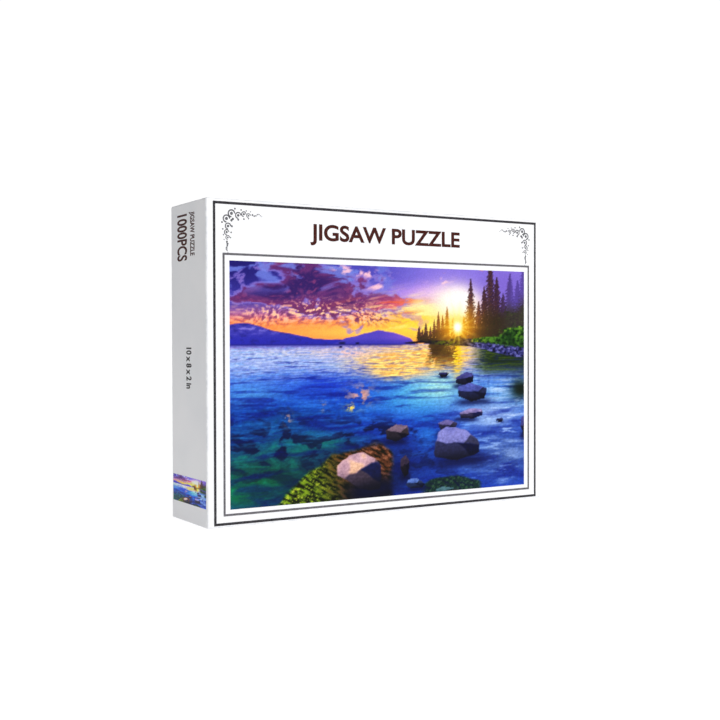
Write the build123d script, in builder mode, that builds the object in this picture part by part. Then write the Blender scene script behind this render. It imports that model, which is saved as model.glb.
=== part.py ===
"""A boxed 1000-piece jigsaw puzzle, standing on its long side with the printed panel to the front.

Two rigid set-up half boxes, a lid and a tray, are each a folded greyboard blank held at the
corners by stay tape and covered with glued paper. The lid slips over the tray from the front.
Inside are a sealed film bag with the loose pieces and a folded sheet with the picture.

Frame: X across the panel, Y from the front to the back, Z up. The origin is the middle of
the footprint. All sizes are in millimetres.
"""

from build123d import *
import math
import os
import random

# The closed box, outside.
BOX_WIDTH = 254.0
BOX_HEIGHT = 195.4
BOX_DEPTH = 55.6

# Rigid box making.
BOARD = 1.5  # greyboard
WRAP = 0.2  # paper with its glue
FOLD_RADIUS = 1.0  # outside of a scored fold in the board
TURN_IN = 15.0  # how far the wrap goes over the rim and down inside
CORNER_SLIT = 0.2  # between two walls where they meet, under the stay tape
STAY_TAPE = 0.12
STAY_LEG = 18.0  # how far a stay reaches from the corner along each wall
SLIP_FIT = 0.4  # between the tray's wrap and the lid's turn-in, on every side
TRAY_REVEAL = 1.0  # how much of the tray shows behind the lid's rim
SEAT_GAP = 0.3  # between the tray's rim and the lid's panel

# The puzzle: 40 columns by 25 rows make 700 by 500 mm.
COLUMNS = 40
ROWS = 25
PIECE_WIDTH = 17.5
PIECE_HEIGHT = 20.0
PIECE_THICKNESS = 1.65
KNOB_RADIUS = 1.9
KNOB_CENTRE = 2.3  # how far the knob's centre stands out from the seam
NECK_RADIUS = 0.8  # of the two small curves that join a knob to its seam
KNOB_SHIFT = 1.2  # the most that a knob is off the middle of its side
CUT_SEED = 1000

# How the loose pieces lie in the bag: each row of the puzzle is one layer.
CELL = 29.4
CELLS_ACROSS = 8
CELLS_UP = 5
LAYER = 1.82
LOOSE_TURN = 2.0  # degrees, the most that a loose piece is off square
LOOSE_SHIFT = 0.3  # the most that it is off the middle of its cell, each way

# The film bag.
FILM = 0.3
BAG_CLEARANCE = 0.4  # from the tray's walls and panel
BAG_WIDTH = 243.0
BAG_DEPTH = 47.4
BAG_SHOULDER = 155.0  # height up to which the bag is full
BAG_NECK = 162.0
BAG_FIN = 170.0
BAG_NECK_DEPTH = 36.0
BAG_FIN_DEPTH = 1.2
BAG_ROUNDING = 2.5

# The picture sheet: A4, folded in half twice.
SHEET_LONG = 297.0
SHEET_SHORT = 210.0
SHEET = 0.15
LEAF_GAP = 0.2
FOLD_GAP = 0.3
SHEET_RIGHT = 108.0  # where its second fold lies
SHEET_FRONT_CLEARANCE = 1.2  # behind the lid's panel

FRONT = -BOX_DEPTH / 2
BACK = BOX_DEPTH / 2
LID_RIM = BACK - TRAY_REVEAL
LID_INSIDE = FRONT + WRAP + BOARD
TRAY_RIM = LID_INSIDE + SEAT_GAP
TRAY_INSIDE = BACK - WRAP - BOARD
TRAY_SMALLER = 2 * (WRAP + BOARD + WRAP + SLIP_FIT)
TRAY_WIDTH = BOX_WIDTH - TRAY_SMALLER
TRAY_HEIGHT = BOX_HEIGHT - TRAY_SMALLER
TRAY_FLOOR = (BOX_HEIGHT - TRAY_HEIGHT) / 2 + WRAP + BOARD + WRAP  # where the contents stand


def facing_front(y, z=BOX_HEIGHT / 2):
    """A plane at depth y and height z whose own x and y are the frame's X and Z."""
    return Plane(origin=(0, y, z), x_dir=(1, 0, 0), z_dir=(0, -1, 0))


def half_box(name, width, height, panel, rim):
    """The board, corner stays and wrap of a half box.

    width and height are over the wrap, and panel and rim are the depths of the wrap's
    outer faces there. An extrude from the rim runs towards the front for the lid, whose
    panel is in front, and towards the back for the tray.
    """
    towards_panel = math.copysign(1, rim - panel)
    board_width, board_height = width - 2 * WRAP, height - 2 * WRAP
    inner_width, inner_height = board_width - 2 * BOARD, board_height - 2 * BOARD
    board_rim = rim - towards_panel * WRAP
    board_depth = abs(rim - panel) - 2 * WRAP
    wall_depth = board_depth - BOARD

    with BuildPart() as stays:
        with BuildSketch(facing_front(board_rim)):
            RectangleRounded(board_width, board_height, FOLD_RADIUS)
            RectangleRounded(
                board_width - 2 * STAY_TAPE,
                board_height - 2 * STAY_TAPE,
                FOLD_RADIUS - STAY_TAPE,
                mode=Mode.SUBTRACT,
            )
            with GridLocations(board_width, board_height, 2, 2):
                Rectangle(2 * STAY_LEG, 2 * STAY_LEG, mode=Mode.INTERSECT)
        extrude(amount=towards_panel * wall_depth)

    with BuildPart() as board:
        with BuildSketch(facing_front(board_rim)):
            Rectangle(board_width, board_height)
        extrude(amount=towards_panel * board_depth)
        panel_face = board.faces().sort_by(Axis.Y)[0 if towards_panel > 0 else -1]
        folds = board.edges().filter_by(Axis.Y) + panel_face.edges()
        fillet(folds, FOLD_RADIUS)
        with BuildSketch(facing_front(board_rim)):
            Rectangle(inner_width, inner_height)
            with GridLocations(inner_width - CORNER_SLIT, inner_height + BOARD, 2, 2):
                Rectangle(CORNER_SLIT, BOARD)
        extrude(amount=towards_panel * wall_depth, mode=Mode.SUBTRACT)
        add(stays.part, mode=Mode.SUBTRACT)

    with BuildPart() as wrap:
        with BuildSketch(facing_front(rim)):
            Rectangle(width, height)
        extrude(amount=towards_panel * abs(rim - panel))
        panel_face = wrap.faces().sort_by(Axis.Y)[0 if towards_panel > 0 else -1]
        folds = wrap.edges().filter_by(Axis.Y) + panel_face.edges()
        fillet(folds, FOLD_RADIUS + WRAP)
        with BuildPart(mode=Mode.PRIVATE) as core:
            with BuildSketch(facing_front(board_rim)):
                Rectangle(board_width, board_height)
            extrude(amount=towards_panel * board_depth)
            core_face = core.faces().sort_by(Axis.Y)[0 if towards_panel > 0 else -1]
            fillet(core.edges().filter_by(Axis.Y) + core_face.edges(), FOLD_RADIUS)
        add(core.part, mode=Mode.SUBTRACT)
        with BuildSketch(facing_front(board_rim)):
            Rectangle(inner_width, inner_height)
        extrude(amount=towards_panel * TURN_IN)
        with BuildSketch(facing_front(rim)):
            Rectangle(inner_width - 2 * WRAP, inner_height - 2 * WRAP)
        extrude(amount=towards_panel * (TURN_IN + 2 * WRAP), mode=Mode.SUBTRACT)

    return {f"{name}_board": board, f"{name}_corner_stays": stays, f"{name}_wrap": wrap}


def cut_seams(rng, down, across):
    """A knob for every seam: which way it points, and how far it is off the middle."""
    return [
        [(rng.choice((-1, 1)), rng.uniform(-KNOB_SHIFT, KNOB_SHIFT)) for _ in range(across)]
        for _ in range(down)
    ]


def seam(start, end, knob):
    """The cut from start to end. A knob of None is the straight edge of the puzzle."""
    start, end = Vector(*start), Vector(*end)
    if knob is None:
        Line(start, end)
        return
    points_to, shift = knob
    along = (end - start).normalized()
    out = Vector(-along.Y, along.X) * points_to
    middle = (start + end) * 0.5 + along * shift
    reach = KNOB_RADIUS + NECK_RADIUS
    spread = math.sqrt(reach**2 - (KNOB_CENTRE - NECK_RADIUS) ** 2)
    head_share = KNOB_RADIUS / reach
    waist = out * (KNOB_CENTRE + (NECK_RADIUS - KNOB_CENTRE) * head_share)
    rise, fall = middle - along * spread, middle + along * spread
    left_waist = middle - along * spread * head_share + waist
    right_waist = middle + along * spread * head_share + waist
    Line(start, rise)
    TangentArc(rise, left_waist, tangent=along)
    ThreePointArc(left_waist, middle + out * (KNOB_CENTRE + KNOB_RADIUS), right_waist)
    TangentArc(fall, right_waist, tangent=-along)
    Line(fall, end)


def piece_outline(row, column, upright, level):
    """One puzzle piece about its own middle, cut on the seams that it shares."""
    left, right = -PIECE_WIDTH / 2, PIECE_WIDTH / 2
    low, high = -PIECE_HEIGHT / 2, PIECE_HEIGHT / 2
    knob_left = upright[row][column - 1] if column else None
    knob_right = upright[row][column] if column < COLUMNS - 1 else None
    knob_low = level[row - 1][column] if row else None
    knob_high = level[row][column] if row < ROWS - 1 else None
    with BuildSketch() as blank:
        with BuildLine():
            seam((left, low), (right, low), knob_low)
            seam((right, low), (right, high), knob_right)
            seam((left, high), (right, high), knob_high)
            seam((left, low), (left, high), knob_left)
        make_face()
    return blank.sketch


def loose_row(row, upright, level, rng):
    """One row of the puzzle, broken up and lying as one layer in the bag."""
    back_of_layer = TRAY_INSIDE - BAG_CLEARANCE - FILM - 0.4 - LAYER * row
    places = GridLocations(CELL, CELL, CELLS_ACROSS, CELLS_UP).local_locations
    rng.shuffle(places)
    middle = TRAY_FLOOR + BAG_CLEARANCE + FILM + 1.2 + CELL * CELLS_UP / 2
    with BuildPart() as layer:
        with BuildSketch(facing_front(back_of_layer, middle)):
            pieces = []
            for column, place in enumerate(places):
                turn = 90 * rng.randrange(4) + rng.uniform(-LOOSE_TURN, LOOSE_TURN)
                shift = [rng.uniform(-LOOSE_SHIFT, LOOSE_SHIFT) for _ in range(2)]
                outline = piece_outline(row, column, upright, level)
                pieces.append(outline.moved(place * Location((*shift, 0), (0, 0, turn))))
            add(pieces)
        extrude(amount=PIECE_THICKNESS)
    return layer


def pouch(wall):
    """The bag's volume, taken in by wall on every side: full below and drawn in above."""
    back = TRAY_INSIDE - BAG_CLEARANCE
    middle = back - BAG_DEPTH / 2
    base = TRAY_FLOOR + BAG_CLEARANCE + wall
    full, neck = BAG_DEPTH / 2 - wall, BAG_NECK_DEPTH / 2 - wall
    fin = BAG_FIN_DEPTH / 2 - wall
    half = [(full, base), (full, BAG_SHOULDER), (neck, BAG_NECK), (fin, BAG_FIN - wall)]
    side = [(middle - y, z) for y, z in half] + [(middle + y, z) for y, z in reversed(half)]
    with BuildPart() as volume:
        with BuildSketch(Plane.YZ):
            with BuildLine():
                Polyline(*side, close=True)
            make_face()
        extrude(amount=BAG_WIDTH / 2 - wall, both=True)
        upright_edges = volume.edges().filter_by(Axis.Z)
        base_edges = volume.faces().sort_by(Axis.Z)[0].edges()
        fillet(upright_edges + base_edges, BAG_ROUNDING - wall)
    return volume


def folded_sheet():
    """An A4 sheet folded in half across, then in half along: four leaves."""
    leaf_long, leaf_short = SHEET_LONG / 2, SHEET_SHORT / 2
    pair = 2 * SHEET + LEAF_GAP
    front = LID_INSIDE + SHEET_FRONT_CLEARANCE
    axis_depth = front + pair + FOLD_GAP / 2
    base = TRAY_FLOOR + 0.6
    with BuildPart() as sheet:
        with BuildSketch(Plane.YZ.offset(SHEET_RIGHT)) as u_section:
            with Locations((front + pair / 2, base + pair / 2)):
                Circle(pair / 2)
                Circle(LEAF_GAP / 2, mode=Mode.SUBTRACT)
                Rectangle(pair, pair / 2, align=(Align.CENTER, Align.MIN), mode=Mode.SUBTRACT)
                with Locations((-(SHEET + LEAF_GAP) / 2, 0), ((SHEET + LEAF_GAP) / 2, 0)):
                    Rectangle(SHEET, leaf_short, align=(Align.CENTER, Align.MIN))
        extrude(u_section.sketch, amount=-leaf_long)
        revolve(
            u_section.sketch,
            axis=Axis((SHEET_RIGHT, axis_depth, 0), (0, 0, 1)),
            revolution_arc=180,
        )
        behind = mirror(
            u_section.sketch,
            about=Plane.XZ.offset(-axis_depth),
            mode=Mode.PRIVATE,
        )
        extrude(behind, amount=-leaf_long)
    return sheet


rng = random.Random(CUT_SEED)
upright_seams = cut_seams(rng, ROWS, COLUMNS - 1)
level_seams = cut_seams(rng, ROWS - 1, COLUMNS)

pieces = half_box("lid", BOX_WIDTH, BOX_HEIGHT, FRONT, LID_RIM)
pieces |= half_box("tray", TRAY_WIDTH, TRAY_HEIGHT, BACK, TRAY_RIM)
with BuildPart() as piece_bag:
    add(pouch(0).part)
    add(pouch(FILM).part, mode=Mode.SUBTRACT)
pieces["piece_bag"] = piece_bag
pieces["picture_sheet"] = folded_sheet()
for row in range(ROWS):
    pieces[f"puzzle_row_{row + 1:02d}"] = loose_row(row, upright_seams, level_seams, rng)

os.makedirs("parts", exist_ok=True)
for name, piece in pieces.items():
    piece.part.label = name
    export_step(piece.part, f"parts/{name}.step", write_pcurves=False)
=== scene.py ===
"""The looks of a boxed jigsaw puzzle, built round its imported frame.

The box stands on its long side. The lid's paper wrap carries the print: a frame line, a title,
corner scrolls and a picture of a lake at sunset, all made here from formulas.
"""

from __future__ import annotations

import logging
import math
from dataclasses import dataclass, field
from enum import Enum
from typing import Any

import bmesh
import bpy
import numpy as np
from mathutils import Matrix, Vector


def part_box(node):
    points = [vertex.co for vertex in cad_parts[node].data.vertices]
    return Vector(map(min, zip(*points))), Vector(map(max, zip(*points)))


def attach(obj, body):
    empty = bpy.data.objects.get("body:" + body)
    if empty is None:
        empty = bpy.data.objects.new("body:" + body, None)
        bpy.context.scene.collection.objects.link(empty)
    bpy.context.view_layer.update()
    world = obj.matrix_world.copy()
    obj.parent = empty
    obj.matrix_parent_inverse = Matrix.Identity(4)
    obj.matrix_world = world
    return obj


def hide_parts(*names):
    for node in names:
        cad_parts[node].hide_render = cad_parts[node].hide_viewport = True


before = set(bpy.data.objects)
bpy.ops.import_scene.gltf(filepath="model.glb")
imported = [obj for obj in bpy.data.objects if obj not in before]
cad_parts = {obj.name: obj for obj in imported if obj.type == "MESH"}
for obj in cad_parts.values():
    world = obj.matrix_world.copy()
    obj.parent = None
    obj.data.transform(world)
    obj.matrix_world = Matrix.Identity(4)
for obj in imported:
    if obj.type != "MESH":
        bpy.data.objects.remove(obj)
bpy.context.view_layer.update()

log = logging.getLogger("puzzle_box")
MM = 0.001
PAPER_IOR = 1.48
FILM_IOR = 1.49
GREYBOARD = ("a59d8f", "938b7e", "b9b1a3", 0.8, 1.6, 0.05)
KRAFT_TAPE = ("b08d5e", "96754a", "cbb088", 0.9, 2.0, 0.05)
Array = np.ndarray


def to_linear(values: Array) -> Array:
    """Turns sRGB values from 0 to 1 into linear ones."""
    return np.where(values <= 0.04045, values / 12.92, ((values + 0.055) / 1.055) ** 2.4)


def swatch(code: str) -> Array:
    """The sRGB values from 0 to 1 of a hex colour.

    Args:
        code: six hex digits.

    Returns:
        Three numbers.
    """
    return np.array([int(code[place : place + 2], 16) / 255 for place in (0, 2, 4)])


def linear(code: str) -> tuple[float, float, float, float]:
    """The linear colour, with full alpha, of a hex colour."""
    return (*to_linear(swatch(code)), 1.0)


def add_node(tree: bpy.types.NodeTree, kind: str, inputs: dict | None = None, **settings: Any) -> Any:
    """Adds a shader node.

    Args:
        tree: the material's or world's node tree.
        kind: the node's type name.
        inputs: socket name or number to a value, or to an output socket to link from.
        settings: the node's own properties.

    Returns:
        The node.
    """
    made = tree.nodes.new(kind)
    for name, value in settings.items():
        setattr(made, name, value)
    for name, value in (inputs or {}).items():
        if isinstance(value, bpy.types.NodeSocket):
            tree.links.new(value, made.inputs[name])
        else:
            made.inputs[name].default_value = value
    return made


def new_material(name: str) -> tuple[bpy.types.Material, bpy.types.NodeTree]:
    """An empty node material and its tree.

    Args:
        name: its name.

    Returns:
        The material and its tree.
    """
    material = bpy.data.materials.new(name)
    material.use_nodes = True
    material.node_tree.nodes.clear()
    return material, material.node_tree


def finish_material(tree: bpy.types.NodeTree, inputs: dict) -> None:
    """Ends a material with its shader, given the shader's inputs, and its output."""
    shader = add_node(tree, "ShaderNodeBsdfPrincipled", inputs)
    add_node(tree, "ShaderNodeOutputMaterial", {"Surface": shader.outputs[0]})


def grain_at(
    tree: bpy.types.NodeTree, size_mm: float, detail: float = 3.0, stretch: Vector | None = None
) -> Any:
    """A noise of a real size, on Object coordinates in metres.

    Args:
        tree: the material's node tree.
        size_mm: how far apart its bumps are.
        detail: how much finer noise is added.
        stretch: a scale for each axis, for fibres.

    Returns:
        The noise's output.
    """
    place = add_node(tree, "ShaderNodeTexCoord").outputs["Object"]
    if stretch is not None:
        place = add_node(tree, "ShaderNodeMapping", {"Vector": place, "Scale": stretch}).outputs[0]
    inputs = {"Vector": place, "Scale": 1 / (size_mm * MM), "Detail": detail, "Roughness": 0.55}
    return add_node(tree, "ShaderNodeTexNoise", inputs).outputs["Fac"]


def orange_peel(tree: bpy.types.NodeTree, size_mm: float) -> Any:
    """The faint bumps of board fibres under smooth paper, as a normal."""
    bumps = {"Height": grain_at(tree, size_mm), "Strength": 0.12, "Distance": 0.05 * MM}
    return add_node(tree, "ShaderNodeBump", bumps).outputs[0]


def corners(node: str) -> tuple[Vector, Vector]:
    """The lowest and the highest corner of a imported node."""
    low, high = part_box(node)
    return Vector(low), Vector(high)


def add_object(name: str, data: Any) -> Any:
    """Adds an object to the scene, at the origin.

    Args:
        name: its name.
        data: what it holds.

    Returns:
        The object.
    """
    made = bpy.data.objects.new(name, data)
    bpy.context.scene.collection.objects.link(made)
    return made


def round_off(
    mesh: bmesh.types.BMesh, geom: list, offset: float, segments: int, affect: str = "EDGES"
) -> None:
    """Rounds off edges or corners.

    Args:
        mesh: the shape.
        geom: its edges or vertices to round.
        offset: how far the rounding reaches.
        segments: how many steps it has.
        affect: EDGES or VERTICES.
    """
    bmesh.ops.bevel(
        mesh,
        geom=geom,
        offset=offset,
        offset_type="OFFSET",
        segments=segments,
        profile=0.5,
        affect=affect,
        material=-1,
    )


def colour_ramp(tree: bpy.types.NodeTree, factor: Any, stops: list[tuple[float, str]]) -> Any:
    """A colour ramp over hex colours, and its colour output.

    Args:
        tree: the material's node tree.
        factor: the socket that drives it.
        stops: positions and hex colours, in order.

    Returns:
        Its colour output.
    """
    ramp = add_node(tree, "ShaderNodeValToRGB", {"Fac": factor})
    ramp.color_ramp.elements.remove(ramp.color_ramp.elements[1])
    first, *others = stops
    ramp.color_ramp.elements[0].position, ramp.color_ramp.elements[0].color = first[0], linear(first[1])
    for position, code in others:
        ramp.color_ramp.elements.new(position).color = linear(code)
    return ramp.outputs["Color"]


@dataclass(frozen=True)
class LaminatedArtPaper:
    """Art paper under a thin matt laminate, wrapped over board.

    It looks a clean cool white with a soft sheen. The board's fibres show through as a faint
    orange peel, and the folds are scuffed to a greyer white.
    """

    white: str = "f4f4f6"
    scuffed: str = "cfd2d8"
    roughness: float = 0.5
    gloss: float = 0.2
    peel_mm: float = 1.6
    cloud_mm: float = 38.0
    rub_mm: float = 5.0
    scuff_mm: float = 1.3
    crisp_mm: float = 0.2

    def material(self, low: Vector, high: Vector) -> bpy.types.Material:
        """Makes the material.

        Args:
            low: the lowest corner of the wrapped box.
            high: its highest corner.

        Returns:
            The material.
        """
        material, tree = new_material("laminated_art_paper")
        place = add_node(tree, "ShaderNodeTexCoord").outputs["Object"]
        middle, half = (low + high) / 2, (high - low) / 2
        offset = add_node(tree, "ShaderNodeVectorMath", {0: place, 1: middle}, operation="SUBTRACT")
        reach = add_node(tree, "ShaderNodeVectorMath", {0: offset.outputs[0]}, operation="ABSOLUTE")
        inward = add_node(tree, "ShaderNodeVectorMath", {0: half, 1: reach.outputs[0]}, operation="SUBTRACT")
        depth = add_node(tree, "ShaderNodeSeparateXYZ", {0: inward.outputs[0]}).outputs
        folds = [
            add_node(tree, "ShaderNodeMath", {0: depth[a], 1: depth[b]}, operation="MAXIMUM").outputs[0]
            for a, b in ((0, 1), (1, 2), (0, 2))
        ]
        nearer = add_node(tree, "ShaderNodeMath", {0: folds[0], 1: folds[1]}, operation="MINIMUM").outputs[0]
        fold = add_node(tree, "ShaderNodeMath", {0: nearer, 1: folds[2]}, operation="MINIMUM").outputs[0]
        rub = grain_at(tree, self.rub_mm, 5.0)
        edge = add_node(
            tree,
            "ShaderNodeMapRange",
            {"Value": fold, "From Min": self.scuff_mm * MM, "From Max": self.crisp_mm * MM, "To Max": 0.75},
        ).outputs[0]
        wear = {"Value": rub, "From Min": 0.42, "From Max": 0.62}
        patchy = add_node(tree, "ShaderNodeMapRange", wear).outputs[0]
        scuff = add_node(tree, "ShaderNodeMath", {0: edge, 1: patchy}, operation="MULTIPLY").outputs[0]
        cloud = colour_ramp(tree, grain_at(tree, self.cloud_mm, 2.0), [(0.35, self.white), (0.7, "eeeff2")])
        colour = add_node(
            tree,
            "ShaderNodeMix",
            {"Factor": scuff, 6: cloud, 7: linear(self.scuffed)},
            data_type="RGBA",
        ).outputs[2]
        rough = add_node(
            tree,
            "ShaderNodeMapRange",
            {"Value": scuff, "To Min": self.roughness, "To Max": self.roughness + 0.25},
        ).outputs[0]
        finish_material(
            tree,
            {
                "Base Color": colour,
                "Roughness": rough,
                "IOR": PAPER_IOR,
                "Specular IOR Level": self.gloss,
                "Normal": orange_peel(tree, self.peel_mm),
            },
        )
        return material


@dataclass(frozen=True)
class OffsetPrint:
    """Four-colour offset print under the same laminate: saturated, with a fine sheen.

    The colour is the piece's own "print" attribute, broken up by a little paper and screen
    grain, drawn at 0.7 mm because the real 0.15 mm screen is too fine to show.
    """

    name: str = "offset_print"
    grain_mm: float = 0.7
    roughness: float = 0.4
    gloss: float = 0.1
    peel_mm: float = 1.6

    def material(self) -> bpy.types.Material:
        """Makes the material.

        Returns:
            The material.
        """
        material, tree = new_material(self.name)
        ink = add_node(tree, "ShaderNodeAttribute", attribute_name="print").outputs["Color"]
        grain = grain_at(tree, self.grain_mm, 2.0)
        dots = {"Value": grain, "From Min": 0.3, "From Max": 0.7, "To Min": 0.9, "To Max": 1.1}
        screen = add_node(tree, "ShaderNodeMapRange", dots).outputs[0]
        scaled = {0: ink, "Scale": screen}
        colour = add_node(tree, "ShaderNodeVectorMath", scaled, operation="SCALE").outputs[0]
        finish_material(
            tree,
            {
                "Base Color": colour,
                "Roughness": self.roughness,
                "IOR": PAPER_IOR,
                "Specular IOR Level": self.gloss,
                "Normal": orange_peel(tree, self.peel_mm),
            },
        )
        return material


@dataclass(frozen=True)
class LineInk:
    """One solid printing ink, for lettering and lines. Its tone varies a little with the paper."""

    name: str
    tone: str
    thin: str
    roughness: float = 0.45
    gloss: float = 0.1
    mottle_mm: float = 1.1

    def material(self) -> bpy.types.Material:
        """Makes the material.

        Returns:
            The material.
        """
        material, tree = new_material(self.name)
        colour = colour_ramp(tree, grain_at(tree, self.mottle_mm), [(0.4, self.tone), (0.68, self.thin)])
        finish_material(
            tree,
            {
                "Base Color": colour,
                "Roughness": self.roughness,
                "IOR": PAPER_IOR,
                "Specular IOR Level": self.gloss,
            },
        )
        return material


@dataclass(frozen=True)
class PulpSheet:
    """Uncoated paper or grey chipboard: matt, with fibres, flecks and a soft felt texture."""

    name: str
    base: str
    dark: str
    fleck: str
    fibre_mm: float
    felt_mm: float
    depth_mm: float

    def material(self) -> bpy.types.Material:
        """Makes the material.

        Returns:
            The material.
        """
        material, tree = new_material(self.name)
        felt = grain_at(tree, self.felt_mm, 4.0)
        body = colour_ramp(tree, felt, [(0.32, self.dark), (0.62, self.base)])
        fibre = grain_at(tree, self.fibre_mm, 2.0, Vector((0.4, 1.0, 1.0)))
        sparse = {"Value": fibre, "From Min": 0.60, "From Max": 0.72}
        flecks = add_node(tree, "ShaderNodeMapRange", sparse).outputs[0]
        colour = add_node(
            tree,
            "ShaderNodeMix",
            {"Factor": flecks, 6: body, 7: linear(self.fleck)},
            data_type="RGBA",
        ).outputs[2]
        nap = {"Height": felt, "Strength": 0.3, "Distance": self.depth_mm * MM}
        bump = add_node(tree, "ShaderNodeBump", nap)
        finish_material(
            tree,
            {"Base Color": colour, "Roughness": 0.85, "Specular IOR Level": 0.3, "Normal": bump.outputs[0]},
        )
        return material


@dataclass(frozen=True)
class BagFilm:
    """Clear polypropylene film: thin, shiny and slightly milky where it is creased."""

    alpha: float = 0.13
    roughness: float = 0.12
    crease_mm: float = 9.0

    def material(self) -> bpy.types.Material:
        """Makes the material.

        Returns:
            The material.
        """
        material, tree = new_material("clear_bag_film")
        crease = grain_at(tree, self.crease_mm, 4.0)
        haze = colour_ramp(tree, crease, [(0.4, "eef2f6"), (0.7, "ffffff")])
        bump = add_node(tree, "ShaderNodeBump", {"Height": crease, "Strength": 0.6, "Distance": 0.8 * MM})
        finish_material(
            tree,
            {
                "Base Color": haze,
                "Roughness": self.roughness,
                "IOR": FILM_IOR,
                "Alpha": self.alpha,
                "Normal": bump.outputs[0],
            },
        )
        return material


# large numbers that scatter the corners of the noise's cells
PRIMES = (374761393, 668265263, 974634777, 1274126177)


def step(low: float, high: float, value: Array) -> Array:
    """Rises smoothly from 0 at low to 1 at high, or falls where low is the greater."""
    t = np.clip((value - low) / (high - low), 0.0, 1.0)
    return t * t * (3 - 2 * t)


def noise(x: Array, y: Array, seed: int) -> Array:
    """Smooth gradient noise around 0.5, about one bump to a unit.

    Args:
        x: coordinates across.
        y: coordinates down.
        seed: picks the pattern.

    Returns:
        One value for each point.
    """
    xi, yi = np.floor(x), np.floor(y)
    fx, fy = x - xi, y - yi

    def slope(dx: int, dy: int) -> Array:
        """The pull of one corner of each point's cell.

        Args:
            dx: 0 for the left corners, 1 for the right ones.
            dy: 0 for the upper corners, 1 for the lower ones.

        Returns:
            The pull at each point.
        """
        column, line = (xi + dx).astype(np.int64), (yi + dy).astype(np.int64)
        n = (column * PRIMES[0] + line * PRIMES[1] + seed * PRIMES[2]) & 0xFFFFFFFF
        n = ((n ^ (n >> 13)) * PRIMES[3]) & 0xFFFFFFFF
        angle = ((n ^ (n >> 16)) & 0xFFFF) * (2 * np.pi / 0x10000)
        return np.cos(angle) * (fx - dx) + np.sin(angle) * (fy - dy)

    sx, sy = (t * t * t * (t * (6 * t - 15) + 10) for t in (fx, fy))
    low = slope(0, 0) * (1 - sx) + slope(1, 0) * sx
    high = slope(0, 1) * (1 - sx) + slope(1, 1) * sx
    return 0.5 + 0.85 * (low * (1 - sy) + high * sy)


def fractal(x: Array, y: Array, seed: int, octaves: int = 4) -> Array:
    """Noise with ever finer noise on top of it.

    Args:
        x: coordinates across.
        y: coordinates down.
        seed: picks the pattern.
        octaves: how many sizes of bump are added.

    Returns:
        One value for each point, mostly from 0.3 to 0.7.
    """
    total, weight, gain = 0.0, 0.0, 1.0
    for octave in range(octaves):
        finer = 2**octave
        total = total + gain * noise(x * finer + 17.3 * octave, y * finer - 9.1 * octave, seed + octave)
        weight += gain
        gain *= 0.5
    return total / weight


@dataclass(frozen=True)
class Rock:
    """A boulder in the water: its middle, half width and height, lit and shaded colours."""

    u: float
    v: float
    wide: float
    tall: float
    lit: str
    shade: str
    seed: int
    lean: float = 0.0


@dataclass(frozen=True)
class Tree:
    """A spruce on the bank: where it stands, its tip, its foot and its half width."""

    u: float
    top: float
    foot: float
    spread: float
    seed: int


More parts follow.
